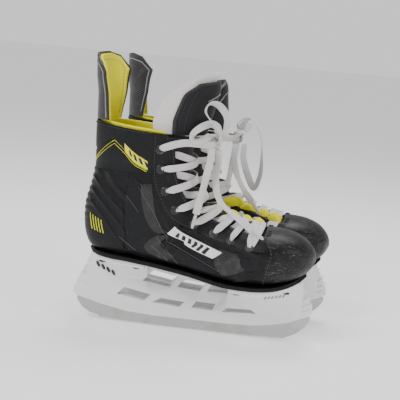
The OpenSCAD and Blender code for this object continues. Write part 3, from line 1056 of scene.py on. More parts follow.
@dataclass(frozen=True)
class Line:
    """A ridge or groove moulded along a line on the side of the boot, in x and z."""

    route: tuple[Uv, ...]
    half: float
    height: float

    def lift(self, x: float, z: float) -> float:
        """Return the height that the line gives a point.

        Args:
            x: Distance along the skate.
            z: Height.

        Returns:
            The height in millimetres.
        """
        best = 1e9
        for (ax, az), (bx, bz) in zip(self.route, self.route[1:]):
            dx, dz = bx - ax, bz - az
            t = min(1.0, max(0.0, ((x - ax) * dx + (z - az) * dz) / (dx * dx + dz * dz)))
            best = min(best, math.hypot(x - ax - t * dx, z - az - t * dz))
        return self.height * bump(best, 0.0, self.half) if best < self.half else 0.0


class Area(Enum):
    """Which stretch of the upper a relief belongs to."""

    SIDE = 1
    HEEL = 2
    CUFF = 3
    TOE = 4


@dataclass
class Relief:
    """All moulded lines of the upper."""

    lines: dict[Area, tuple[Line, ...]] = field(default_factory=lambda: {
        Area.SIDE: (
            Line(((-17, 107), (61, 90), (67, 74), (40, 60)), 2.2, 1.92),
            Line(((-10, 101), (54, 86.5), (60, 75), (36, 64)), 1.3, -0.96),
            Line(((-31, 92), (-15, 85), (28, 67)), 1.5, 1.44),
            Line(((-50, 146), (-38, 121), (-24, 98), (-34, 76)), 2.0, 1.44),
            Line(((-58, 143), (-46, 118), (-32, 96), (-41, 74)), 1.6, -1.28),
            Line(((-64, 150), (-50, 142)), 1.3, 1.28),
        ),
        Area.HEEL: (
            Line(((-103, 160), (-93, 145), (-80, 132), (-64, 119), (-48, 98), (-30, 72)), 2.2, -1.44),
            Line(((-98, 156), (-80, 140), (-66, 129), (-54, 112)), 1.6, 1.44),
            Line(((-106, 147), (-90, 131), (-74, 118), (-58, 98), (-44, 74)), 1.8, 1.44),
            Line(((-108, 136), (-92, 121), (-78, 107), (-62, 88), (-52, 74)), 1.8, 1.28),
            Line(((-109, 125), (-96, 112), (-82, 96), (-68, 79)), 1.6, 1.12),
        ),
        Area.CUFF: (
            Line(((-112, 171), (-103, 178.5), (-91, 187), (-79, 175), (-66, 165), (-50, 156)), 1.8, -0.96),
        ),
        Area.TOE: (
            Line(((72, 88), (84, 91), (108, 92)), 1.6, -0.8),
            Line(((62, 104), (70, 97), (74, 84), (83, 58)), 1.8, -0.96),
        ),
    })

    def lift(self, area: Area, p: Vector) -> float:
        """Return a point's total relief.

        Args:
            area: The moulded area.
            p: The point on the surface.

        Returns:
            The height in millimetres.
        """
        total = sum(line.lift(p.x, p.z) for line in self.lines[area])
        if area is Area.HEEL and p.x < -100:
            total += 0.55 * math.sin(p.z * 0.95) * smooth(-102, -110, p.x) * smooth(100, 112, p.z)
        return total


# ---------------------------------------------------------------- upper

@dataclass
class Upper:
    """The moulded shell of the boot with its overlays, seams and badges."""

    pair: Pair
    last: Last
    relief: Relief = field(default_factory=Relief)
    side_cells: tuple[int, int] = (150, 56)
    heel_cells: tuple[int, int] = (90, 110)

    def panel(self, name: str, place: Place, cells: tuple[int, int], low: float, high: float,
              lift: Callable[[float, float, Vector], float] | None = None,
              rows: Sequence[tuple[float, ...]] | None = None, round_mm: float = 0.5) -> bpy.types.Object:
        """Make a panel of the upper between two lifts.

        Args:
            name: Its name.
            place: Gives section and girth for two shares.
            cells: Cells along and across.
            low: Lift of its inner face.
            high: Lift of its outer face.
            lift: Extra height of the outer face at two shares and a point.
            rows: The section table.
            round_mm: Edge rounding.

        Returns:
            The closed panel.
        """
        na, nb = cells
        grid = []
        for i in range(na + 1):
            row = []
            for j in range(nb + 1):
                a, b = i / na, j / nb
                u, v = place(a, b)
                base = self.last.point(u, v, rows)
                extra = lift(a, b, base) if lift else 0.0
                row.append(base + self.last.normal(u, v, rows) * (high + extra))
            grid.append(row)
        u, v = place(0.5, 0.5)
        made = grid_object(name, grid, outward=self.last.normal(u, v, rows))
        apply(made, "SOLIDIFY", thickness=(high - low) * MM, offset=-1.0, use_rim=True)
        if round_mm:
            apply(made, "BEVEL", width=round_mm * MM, segments=2, limit_method="ANGLE",
                  angle_limit=math.radians(50))
        soften(made)
        return made

    def sides(self) -> None:
        """Make both quarters."""
        last = self.last
        for name, side in (("lateral_quarter", -1), ("medial_quarter", 1)):
            def place(a: float, b: float, side: int = side) -> Uv:
                """Lay a panel's shares over the surface.

                Args:
                    a: Share along the panel.
                    b: Share across the panel.
                    side: -1 lateral, 1 medial.

                Returns:
                    The section and girth.
                """
                u = mix(last.cuff_end, last.cap_start, a)
                low = table(last.heel_front, u) if u < last.heel_end else 0.10
                return u, side * mix(low, table(last.facing_low, u), b)
            made = self.panel(name, place, self.side_cells, -last.wall, 0.0,
                              lambda a, b, p: self.relief.lift(Area.SIDE, p), round_mm=0.3)
            self.pair.dress(made, name, "skate", "upper", self.pair.finishes.upper, (name,))

    def heel(self) -> None:
        """Make the heel counter with its slanting ridges."""
        last = self.last

        def place(a: float, b: float) -> Uv:
            """Lay a panel's shares over the surface."""
            u = mix(last.cuff_end, last.heel_end, a)
            return u, mix(-1, 1, b) * table(last.heel_front, u)
        made = self.panel("heel_counter", place, self.heel_cells, -last.wall, 0.5,
                          lambda a, b, p: self.relief.lift(Area.HEEL, p), round_mm=0.4)
        self.pair.dress(made, "heel_counter", "skate", "upper", self.pair.finishes.upper, ("heel_counter",))

    def cuff(self) -> None:
        """Make the smooth ankle cuff, slightly padded."""
        last = self.last

        def place(a: float, b: float) -> Uv:
            """Lay a panel's shares over the surface.

            Args:
                a: Share along the panel.
                b: Share across the panel.

            Returns:
                The section and girth.
            """
            v = mix(-1, 1, b)
            u = mix(-0.15 * v if v < 0 else 0.0, last.cuff_end, a)
            return u, v * table(last.facing_low, u)

        def swell(a: float, b: float, p: Vector) -> float:
            """Return the extra height at a point."""
            pad = 0.9 * math.sin(math.pi * min(1.0, a * 1.25)) if a < 0.8 else 0.0
            return pad + self.relief.lift(Area.CUFF, p)
        made = self.panel("ankle_cuff", place, (44, 130), -last.wall, 0.3, swell, round_mm=0.7)
        self.pair.dress(made, "ankle_cuff", "skate", "upper", self.pair.finishes.cuff, ("ankle_cuff",))

    def facings(self) -> None:
        """Make the eyelet facings; the medial one stands proud over the foot."""
        last = self.last
        for name, side in (("lateral_facing", -1), ("medial_facing", 1)):
            def place(a: float, b: float, side: int = side) -> Uv:
                """Lay a panel's shares over the surface.

                Args:
                    a: Share along the panel.
                    b: Share across the panel.
                    side: -1 lateral, 1 medial.

                Returns:
                    The section and girth.
                """
                u = mix(0.0 if side > 0 else 0.15, mix(last.cap_start, last.cap_start_top, b), a)
                top = table(last.throat, u) - 0.05 * smooth(0.45, 0.15, u)
                return u, side * mix(table(last.facing_low, u), top, b)

            def flare(a: float, b: float, p: Vector, side: int = side) -> float:
                """Return the facing's extra height at a point.

                Args:
                    a: Share along the panel.
                    b: Share across the panel.
                    p: The point on the surface.
                    side: -1 lateral, 1 medial.

                Returns:
                    The extra height.
                """
                rise = 0.35 * bump(b, 0.86, 0.12) - 0.4 * bump(b, 0.03, 0.05)
                if side > 0:
                    rise += 5.0 * smooth(0.25, 1.0, b) * bump(p.x, 30, 46)
                return rise
            made = self.panel(name, place, (120, 22), -last.wall + 0.4, 1.0, flare, round_mm=0.5)
            self.pair.dress(made, name, "skate", "facing", self.pair.finishes.facing, (name,))

    def toe(self) -> None:
        """Make the toe cap as a closed cup."""
        last = self.last
        start = ((0, last.cap_start), (0.58, last.cap_start), (0.79, last.cap_start_top),
                 (1, last.cap_start_top))
        na, nb = 46, 96
        rows = []
        for i in range(na + 1):
            row = []
            for j in range(nb):
                v = -1 + 2 * j / nb
                a = (i / na) ** 0.9
                u = mix(table(start, abs(v)), last.cap_end - 0.02, a)
                p = last.point(u, v)
                row.append(p + last.normal(u, v) * (0.45 + self.relief.lift(Area.TOE, p)
                                                    - 0.5 * bump(a, 0.0, 0.05)))
            rows.append(row)
        rows.append([Vector((117.9, 0, 84.2)) + (p - Vector((117.9, 0, 84.2))) * 0.1 for p in rows[-1]])
        made = grid_object("toe_cap", rows, closed=True, outward=last.normal(13.5, -1 + 2 * (nb // 2) / nb))
        apply(made, "SOLIDIFY", thickness=(last.wall + 0.4) * MM, offset=-1.0, use_rim=True)
        soften(made, 50)
        self.pair.dress(made, "toe_cap", "skate", "cap", self.pair.finishes.toe, ("toe_cap",))

    def surface_rod(self, name: str, spots: Sequence[Uv], lift: float, radius: float, sides: int = 6,
                    flat: float = 1.0, count: int = 60) -> bpy.types.Object:
        """Make a rod that follows the surface through spots given as section and girth.

        Args:
            name: Piece name.
            spots: Sections and girths.
            lift: Height over the surface.
            radius: Radius in millimetres.
            sides: Number of sides.
            flat: Thickness share.
            count: Number of points.

        Returns:
            The rod.
        """
        fine = curve_points([(u, v, 0.0) for u, v in spots], count)
        route = [self.last.at(p.x, p.y, lift) for p in fine]
        ups = [self.last.normal(p.x, p.y) for p in fine]
        return rod(name, route, radius, sides, flat, ups)

    def surface_stitches(self, name: str, spots: Sequence[Uv], lift: float, pitch: float = 3.0,
                         count: int = 160, **sizes: float) -> bpy.types.Object:
        """Make stitches that follow the surface through spots given as section and girth.

        Args:
            name: Piece name.
            spots: Sections and girths.
            lift: Height over the surface.
            pitch: Step between stitches.
            count: Number of points.
            sizes: Length and thickness of a stitch.

        Returns:
            The joined stitches.
        """
        fine = curve_points([(u, v, 0.0) for u, v in spots], count)
        return stitches(name, [self.last.at(p.x, p.y, lift) for p in fine],
                        [self.last.normal(p.x, p.y) for p in fine], pitch, **sizes)

    def seams(self) -> None:
        """Sew the facings, throat, collar and toe, and tack bars on the toe."""
        last = self.last
        f = self.pair.finishes
        rows = []
        for side in (-1, 1):
            start = 0.25 if side < 0 else 0.1
            low = [(u, side * (table(last.facing_low, u) + 0.015))
                   for u in (start, 1, 2, 3, 4, 5, 6, 7, 8, 9, 10, 11)]
            rows.append(self.surface_stitches(f"facing_seam_{side}", low, 1.05))
            high = [(u, side * (table(last.throat, u) - 0.022 - 0.05 * smooth(0.45, 0.15, u)))
                    for u in (start, 0.5, 1, 2, 3, 4, 5, 6, 7, 8, 9, 10, 10.5)]
            proud = 1.3 if side < 0 else 1.3
            rows.append(self.surface_stitches(f"throat_seam_{side}", high, proud))
            toe = [(last.cap_start + 0.12, side * v) for v in (0.12, 0.3, 0.45, 0.58)]
            toe += [(last.cap_start_top + 0.22, side * 0.74), (last.cap_start_top + 0.14, side * 0.9)]
            rows.append(self.surface_stitches(f"toe_seam_{side}", toe, 0.7, 3.4, long=2.4, thick=0.5))
        collar = [(0.12 - (0.15 * v if v < 0 else 0.0), v) for v in (-0.52, -0.3, 0, 0.3, 0.52)]
        rows.append(self.surface_stitches("collar_seam", collar, 0.95))
        self.pair.dress(join(rows, "seams"), "seam_stitches", "skate", "upper", f.thread)
        bars = []
        for k in (-1, 0, 1):
            for side in (-1, 1):
                spots = [(10.74, side * (0.86 + 0.04 * k)), (11.05, side * (0.86 + 0.04 * k))]
                bars.append(self.surface_rod(f"bar_{k}_{side}", spots, 1.0, 0.9, 6, count=6))
        self.pair.dress(join(bars, "bars"), "toe_bar_tacks", "skate", "cap", f.thread)

    def trims(self) -> None:
        """Lay the piping, the badges and the heel emblem."""
        last = self.last
        f = self.pair.finishes
        line = [(1.02, -0.10), (0.74, -0.22), (0.48, -0.335), (0.69, -0.415), (0.98, -0.475), (1.25, -0.535)]
        rods = []
        for k, shift in enumerate((0.0, 0.075)):
            for side in (1, -1):
                spots = [(u + shift, side * v) for u, v in line]
                for part, stretch in (("a", spots[:3]), ("b", spots[2:])):
                    rods.append(self.surface_rod(f"pipe_{k}_{side}_{part}", stretch, 1.0, 0.3, 6, count=40))
        self.pair.dress(join(rods, "piping"), "cuff_piping", "skate", "badge", f.lime)
        white = ((5.78, -0.524), (9.1, -0.472), (9.16, -0.506), (5.17, -0.593))
        yellow = ((0.71, -0.414), (1.24, -0.54), (0.91, -0.536), (0.52, -0.406))
        for stem, corners, material in (("side_badge", white, f.white_film),
                                        ("cuff_badge", yellow, f.yellow_film)):
            def place(a: float, b: float, q: tuple[Uv, ...] = corners) -> Uv:
                """Lay a panel's shares over the surface."""
                return (mix(mix(q[0][0], q[1][0], a), mix(q[3][0], q[2][0], a), b),
                        mix(mix(q[0][1], q[1][1], a), mix(q[3][1], q[2][1], a), b))
            made = self.panel(stem, place, (40, 8), 0.3, 1.75 if stem == "cuff_badge" else 1.45,
                              round_mm=0.25)
            self.pair.dress(made, stem, "skate", "badge", material,
                            ("badges",) if stem == "side_badge" else ())
        self.inlays()
        lines = []
        for k in range(5):
            x = -107 + 3.0 * k
            lines.append(self.heel_line(f"emblem_{k}", x, 111 - 1.2 * k, x + 3.5, 95 - 0.6 * k))
        self.pair.dress(join(lines, "emblem"), "heel_emblem", "skate", "badge", f.lime)

    def inlays(self) -> None:
        """Set the woven-pattern inlays and raise the thin grey lines on both sides, partly trim and partly
        painted highlights along the moulded ridges.
        """
        quads = (((-58, 146), (-47, 147), (-27, 101), (-37, 99)), ((24, 91), (41, 89), (51, 75), (30, 66)),
                 ((-36, 97), (-27, 98), (-19, 79), (-28, 72)))
        made, lines = [], []
        for side in (-1, 1):
            for k, quad in enumerate(quads):
                q = [self.find(x, z, side) for x, z in quad]

                def place(a: float, b: float, q: list[Uv] = q) -> Uv:
                    """Lay a panel's shares over the surface."""
                    return (mix(mix(q[0][0], q[3][0], a), mix(q[1][0], q[2][0], a), b),
                            mix(mix(q[0][1], q[3][1], a), mix(q[1][1], q[2][1], a), b))
                made.append(self.panel(f"inlay_{side}_{k}", place, (28, 10), 0.1, 0.5,
                                       lambda a, b, p: max(0.0, self.relief.lift(Area.SIDE, p)),
                                       round_mm=0.2))
            # Thin grey rods on the ridges and panel edges: partly raised trim, partly painted highlights
            # where glints run along the ridges.
            for k, route in enumerate((((-29, 93), (-15, 87), (28, 69)), ((-17, 108), (20, 99), (60, 91)),
                                       ((-60, 143), (-42, 117), (-30, 95)),
                                       ((-80, 140), (-69, 131), (-58, 118)),
                                       ((-76, 92), (-67, 86), (-58, 80)), ((-44, 87), (-34, 80), (-25, 73)),
                                       ((-39, 96), (-27, 83), (-15, 71)))):
                fine = [self.find(p.x, p.y, side) for p in curve_points([(x, z, 0.0) for x, z in route], 9)]
                lines.append(self.surface_rod(f"line_{side}_{k}", fine, 0.55, 0.32, 5, count=24))
        self.pair.dress(join(made, "inlays"), "woven_inlays", "skate", "upper", self.pair.finishes.mesh_band)
        self.pair.dress(join(lines, "lines"), "raised_lines", "skate", "upper", self.pair.finishes.dim_line)

    def find(self, x: float, z: float, side: int) -> Uv:
        """Find the section and girth whose point has this x and z on one side.

        Args:
            x: Distance along the skate.
            z: Height.
            side: -1 lateral, 1 medial.

        Returns:
            The section and girth.
        """
        spot, step_u, step_v = (6.5, 0.4), 0.3, 0.04
        reach = (17, 10)
        for _ in range(4):
            tries = [(spot[0] + step_u * i, min(0.98, max(0.02, spot[1] + step_v * j)))
                     for i in range(-reach[0], reach[0] + 1) for j in range(-reach[1], reach[1] + 1)]
            tries = [t for t in tries if t[0] > 0.1]
            spot = min(tries, key=lambda t: (self.last.point(*t).x - x) ** 2
                       + (self.last.point(*t).z - z) ** 2)
            step_u, step_v, reach = step_u / 4, step_v / 4, (4, 4)
        return spot[0], side * spot[1]

    def heel_line(self, name: str, x0: float, z0: float, x1: float, z1: float) -> bpy.types.Object:
        """Make one slanting stroke of the heel emblem."""
        a, b = self.find(x0, z0, -1), self.find(x1, z1, -1)
        return self.surface_rod(name, [a, ((a[0] + b[0]) / 2, (a[1] + b[1]) / 2), b], 0.75, 0.55, 6, 0.6, 14)

    def eyelets(self) -> None:
        """Set the eyelets: a rolled black ring with a dark disc in its bore, painted shade for the hollow."""
        last = self.last
        ring = [(2.5, -1.6), (2.5, 0.2), (2.9, 0.75), (3.6, 0.8), (4.3, 0.45), (4.6, 0.0)]
        rings, holes = [], []
        for side in (-1, 1):
            for i, (u, v) in enumerate(zip(last.eyelet_u, last.eyelet_v)):
                up = last.normal(u, side * v)
                at = last.at(u, side * v, 1.1 + self.proud(u, side))
                x_axis = up.orthogonal().normalized()
                y_axis = up.cross(x_axis)
                rows = [[at + x_axis * (r * math.cos(2 * math.pi * k / 28)) + y_axis
                         * (r * math.sin(2 * math.pi * k / 28))
                         + up * h for k in range(28)] for r, h in ring]
                rings.append(grid_object(f"eyelet_{side}_{i}", rows, closed=True))
                # A dark disc plugs each bore: painted shade standing in for the shadowed hollow of the
                # eyelet.
                holes.append(rod(f"hole_{side}_{i}", [at - up * 0.3, at + up * 0.12], 2.6, 20, ups=None,
                                 taper=False))
        rings = join(rings, "eyelets")
        only(rings)
        bpy.ops.object.mode_set(mode="EDIT")
        bpy.ops.mesh.select_all(action="SELECT")
        bpy.ops.mesh.normals_make_consistent(inside=False)
        bpy.ops.object.mode_set(mode="OBJECT")
        apply(rings, "SOLIDIFY", thickness=0.35 * MM, offset=-1.0)
        soften(rings, 60)
        self.pair.dress(rings, "eyelets", "skate", "hardware", self.pair.finishes.dark_metal, ("eyelets",))
        self.pair.dress(join(holes, "holes"), "eyelet_hollows", "skate", "facing", self.pair.finishes.mark)

    def proud(self, u: float, side: int) -> float:
        """Return how far the medial facing's eyelet line stands up."""
        return 1.2 * bump(self.last.point(u, side * 0.64).x, 30, 46) if side > 0 else 0.0

    def build(self) -> None:
        """Build every piece of the upper."""
        self.sides()
        self.heel()
        self.cuff()
        self.facings()
        self.toe()
        self.seams()
        self.trims()
        self.eyelets()


# ---------------------------------------------------------------- lining, guard and tongue

@dataclass
class Padding:
    """Liner, collar lining and collar roll inside the boot."""

    pair: Pair
    upper: Upper
    shell_gap: float = 0.8

    def build(self) -> None:
        """Build the soft inside."""
        last = self.upper.last
        f = self.pair.finishes
        low, high = -last.wall - self.shell_gap - last.liner_t, -last.wall - self.shell_gap
        halves = []
        for side in (-1, 1):
            def place(a: float, b: float, side: int = side) -> Uv:
                """Lay a panel's shares over the surface."""
                u = mix(last.cuff_end, 13, a)
                return u, side * mix(table(last.liner_low, u) + 0.003, table(last.liner_front, u), b)
            halves.append(self.upper.panel(f"liner_{side}", place, (60, 24), low, high, round_mm=0.8))
        self.pair.pad(join(halves, "liner"), "liner", "skate", "liner", f.liner, ("liner",))

        def ring(a: float, b: float) -> Uv:
            """Lay the collar ring's shares over the surface.

            Args:
                a: Share along the panel.
                b: Share across the panel.

            Returns:
                The section and girth.
            """
            v = mix(-1, 1, b)
            u = mix(-0.15 * v if v < 0 else 0.0, last.cuff_end - 0.02, a)
            return u, v * table(last.liner_front, u)
        made = self.upper.panel("collar_lining", ring, (20, 120), low, high, round_mm=1.0)
        self.pair.pad(made, "collar_lining", "skate", "lining", f.yellow, ("collar_lining",))
        spots = [(0.3 - (0.15 * v if v < 0 else 0.0), v) for v in (-0.48, -0.3, 0, 0.3, 0.48)]
        roll = []
        for k in range(61):
            v = mix(-0.62, 0.62, k / 60)
            top = -0.15 * v if v < 0 else 0.0
            roll.append(last.at(top + 0.02, v, (low + high) / 2) + Vector((0, 0, 0.3)))
        self.pair.pad(rod("roll", roll, 1.7, 10, 1.0), "collar_roll", "skate", "lining", f.yellow)
        seam = self.inner_seam("collar_inner_seam", spots, low - 0.05)
        self.pair.dress(seam, "collar_inner_seam", "skate", "lining", f.grey_line)

    def inner_seam(self, name: str, spots: Sequence[Uv], lift: float) -> bpy.types.Object:
        """Sew a line on the lining's inner face.

        Args:
            name: Piece name.
            spots: Sections and girths.
            lift: Height over the surface.

        Returns:
            The joined stitches.
        """
        last = self.upper.last
        fine = curve_points([(u, v, 0.0) for u, v in spots], 160)
        return stitches(name, [last.at(p.x, p.y, lift) for p in fine],
                        [last.normal(p.x, p.y) * -1 for p in fine], 3.2, 2.2, 0.4)


@dataclass
class Guard:
    """The tall guard behind the ankle, a bent shell with a woven pattern and a bright lining."""

    pair: Pair
    back: tuple[Uv, ...] = ((0, -111), (26, -112), (41, -114.5), (64, -116))
    top: tuple[Uv, ...] = ((-72, 34), (-60, 48), (-42, 57), (0, 64), (45, 66), (78, 63), (110, 50))
    depth: float = 22.0
    half: float = 27.5
    base: float = 203.6

    def point(self, a: float, b: float, lift: float) -> Vector:
        """Return the point at height share a and turn share b.

        Args:
            a: Share of the height.
            b: Share of the turn round the ankle.
            lift: Height over the surface.

        Returns:
            The point in millimetres.
        """
        turn = mix(10 * a - 72, 80 + 30 * a, b)
        h = a * table(self.top, turn)
        r = math.radians(turn)
        n = Vector((-self.half * math.cos(r), self.depth * math.sin(r), 0)).normalized()
        x = table(self.back, h) + self.depth * (1 - math.cos(r))
        return Vector((x, self.half * math.sin(r), self.base + h)) + n * lift

    def shell(self, name: str, low: float, high: float, inset: float, round_mm: float) -> bpy.types.Object:
        """Make a layer of the guard between two lifts.

        Args:
            name: Piece name.
            low: Lift of the inner face.
            high: Lift of the outer face.
            inset: Share taken off the top and both sides.
            round_mm: Edge radius.

        Returns:
            The layer.
        """
        rows = [[self.point(i / 40 * (1 - inset), mix(inset / 2, 1 - inset / 2, j / 90), high)
                 for j in range(91)] for i in range(41)]
        made = grid_object(name, rows, outward=Vector((-1, 0, 0)))
        apply(made, "SOLIDIFY", thickness=(high - low) * MM, offset=-1.0)
        apply(made, "BEVEL", width=round_mm * MM, segments=3, limit_method="ANGLE",
              angle_limit=math.radians(50))
        soften(made)
        return made

    def build(self) -> None:
        """Build shell, lining, rim line and stitches."""
        f = self.pair.finishes
        self.pair.dress(self.shell("guard", -2.2, 0.3, 0.0, 0.7), "tendon_guard", "guard", "guard", f.guard,
                        ("tendon_guard",))
        self.pair.pad(self.shell("guard_lining", -5.5, -2.25, 0.03, 1.0), "guard_lining", "guard", "lining",
                      f.yellow, ("guard_lining",))
        edge = [(0.05 + 0.045 * k, 0.045) for k in range(18)] + [(0.91, 0.045 + 0.91 * k / 40)
                                                                 for k in range(41)]
        edge += [(0.86 - 0.045 * k, 0.955) for k in range(18)]
        rim = [self.point(a, b, 0.35) for a, b in edge]
        ups = [(self.point(a, b, 1.0) - self.point(a, b, 0.0)).normalized() for a, b in edge]
        self.pair.dress(rod("rim", rim, 0.55, 6, 0.7, ups), "guard_rim_line", "guard", "guard", f.grey_line)
        inner = [self.point(a * 0.97, mix(0.03, 0.97, b), -5.6) for a, b in edge]
        sewn = stitches("guard_seam", inner, [u * -1 for u in ups], 3.4, 2.2, 0.4)
        self.pair.dress(sewn, "guard_seam", "guard", "lining", f.grey_line)


@dataclass
class Tongue:
    """The padded tongue with its felt lining, edge binding and printed lines."""

    pair: Pair
    upper: Upper
    left_lean: tuple[float, ...] = (-22.0, -16.5, -11.5, -5.5, 0.0)

    def top_panel(self, name: str, low: float, high: float, start: float, widen: float, puff: float,
                  round_mm: float, rows: Sequence[tuple[float, ...]]) -> bpy.types.Object:
        """Make a layer of the tongue's free top.

        Args:
            name: Piece name.
            low: Lift of the inner face.
            high: Lift of the outer face.
            start: Section where the layer starts.
            widen: Share of the girth added on both sides.
            puff: Swelling in the middle, or along the rim when negative.
            round_mm: Edge radius.
            rows: The tongue's section rows.

        Returns:
            The layer.
        """
        last = self.upper.last

        def place(a: float, b: float) -> Uv:
            """Lay a panel's shares over the surface.

            Args:
                a: Share along the panel.
                b: Share across the panel.

            Returns:
                The section and girth.
            """
            u = mix(start, 3.95, a)
            edge = table(last.tongue_edge, u) - widen
            edge += 0.06 * smooth(0.22, 0.0, a)
            return u, mix(edge, 2 - edge, b)

        def swell(a: float, b: float, p: Vector) -> float:
            """Return the extra height at a point.

            Args:
                a: Share along the panel.
                b: Share across the panel.
                p: The point on the surface.

            Returns:
                The extra height.
            """
            if puff < 0:
                rim = max(smooth(0.2, 0.03, min(b, 1 - b)), smooth(0.16, 0.02, a))
                return -puff * rim
            return puff * math.sin(math.pi * min(1.0, max(0.0, b))) ** 0.5 * smooth(0.0, 0.12, a)
        return self.upper.panel(name, place, (48, 70), low, high, swell, rows, round_mm)

    def build(self) -> None:
        """Build body, top, felt, binding and marks."""
        last = self.upper.last
        f = self.pair.finishes

        def body(a: float, b: float) -> Uv:
            """Lay the instep part's shares over the surface.

            Args:
                a: Share along the panel.
                b: Share across the panel.

            Returns:
                The section and girth.
            """
            u = mix(0.25, 10.5, a)
            edge = table(last.liner_front, u) + 0.02
            return u, mix(edge, 2 - edge, b)
        made = self.upper.panel("tongue_body", body, (90, 34), -last.wall - 5, -last.wall - 0.8, round_mm=1.0)
        self.pair.pad(made, "tongue_body", "skate", "tongue", f.tongue, ("tongue_body",))
        for skate in self.pair.skates:
            self.free_top(skate)
        self.pads()

    def free_top(self, skate: Skate) -> None:
        """Build one skate's free tongue top: cover, felt, binding and marks.

        Args:
            skate: The skate.
        """
        last = self.upper.last
        f = self.pair.finishes
        lean = self.left_lean if skate.turn < 0 else (0.0,) * 5
        rows = [(r[0] + d, r[1], r[2] + d, *r[3:]) for r, d in zip(last.tongue, lean)]

        def put(blank: bpy.types.Object, stem: str, slot: str, material: bpy.types.Material,
                nodes: Sequence[str] = ()) -> bpy.types.Object:
            """Seat a piece on this skate and drop the blank.

            Args:
                blank: The piece to copy.
                stem: Name, less the side.
                slot: Material slot.
                material: Its finish.
                nodes: CAD nodes that it stands for.

            Returns:
                The piece.
            """
            piece = self.pair.seat(blank, skate, stem, "tongue", slot, material, nodes)
            bpy.data.objects.remove(blank)
            return piece
        put(self.top_panel("cover", -3.0, -0.4, 0.72, -0.005, 0.4, 1.0, rows), "tongue_top",
                      "tongue",
                      f.tongue, ("tongue_top",))
        put(self.top_panel("felt", -10.0, -3.8, 0.0, 0.095, -3.0, 2.8, rows), "tongue_felt", "felt",
                      f.felt, ("tongue_felt",))
        edge = []
        for i in range(41):
            u = 3.9 - 3.12 * i / 40
            edge.append((u, table(last.tongue_edge, u) + 0.017 + 0.06 * smooth(0.22, 0.0, (u - 0.72) / 3.23)))
        across = [(0.76, mix(edge[-1][1], 2 - edge[-1][1], k / 30)) for k in range(1, 30)]
        loop = edge + across + [(u, 2 - v) for u, v in reversed(edge)]
        route = [last.at(u, v, -1.6, rows) for u, v in loop]
        ups = [last.normal(u, v, rows) for u, v in loop]
        put(rod("binding", route, 1.7, 10, 0.95, ups), "tongue_binding", "tongue", f.binding)
        sewn_rows = []
        for shift in (0.03, 0.07):
            for mirror in (False, True):
                sewn = [(u, 2 - v - shift if mirror else v + shift) for u, v in edge[4:]]
                sewn_rows.append(stitches("sewn", [last.at(u, v, 0.1, rows) for u, v in sewn],
                                          [last.normal(u, v, rows) for u, v in sewn], 2.8, 1.9, 0.3))
        put(join(sewn_rows, "tongue_seams"), "tongue_seams", "tongue", f.thread)
        lines = []
        for k, (a, b) in enumerate((((2.6, 0.72), (1.75, 0.88)), ((1.75, 0.88), (1.5, 1.0)),
                                    ((1.5, 1.0), (1.9, 1.2)))):
            spots = [(mix(a[0], b[0], i / 12), mix(a[1], b[1], i / 12)) for i in range(13)]
            lines.append(rod(f"chevron_{k}", [last.at(u, v, 0.2, rows) for u, v in spots], 0.5, 6, 0.5,
                             [last.normal(u, v, rows) for u, v in spots]))
        for k in range(6):
            spots = [(1.6 - 0.1 * k - 0.035 * i, 0.72 + 0.034 * k + 0.003 * i) for i in range(8)]
            lines.append(rod(f"bar_{k}", [last.at(u, v, 0.2, rows) for u, v in spots], 0.55, 6, 0.5,
                             [last.normal(u, v, rows) for u, v in spots]))
        put(join(lines, "marks"), "tongue_marks", "badge", f.grey_line)
        log.info("%s tongue top finished", skate.name)

    def pads(self) -> None:
        """Make the bright pads that swell up between the laces on the inner side."""
        last = self.upper.last
        pads = []
        gaps = list(zip(last.eyelet_u[3:-1], last.eyelet_u[4:]))
        for k, (a0, a1) in enumerate(gaps):
            def place(a: float, b: float, a0: float = a0, a1: float = a1) -> Uv:
                """Lay a panel's shares over the surface."""
                u = mix(a0 + 0.45, a1 + 0.45, a)
                return u, mix(table(last.throat, u) - 0.035, 0.90, b)

            def swell(a: float, b: float, p: Vector) -> float:
                """Return the extra height at a point."""
                return 7.5 * (math.sin(math.pi * a) * math.sin(math.pi * b)) ** 0.5
            pads.append(self.upper.panel(f"pad_{k}", place, (18, 14), -1.6, 1.2, swell, round_mm=0.6))
        self.pair.pad(join(pads, "pads"), "instep_pads", "skate", "lining", self.pair.finishes.yellow)


# ---------------------------------------------------------------- sole, holder and blade

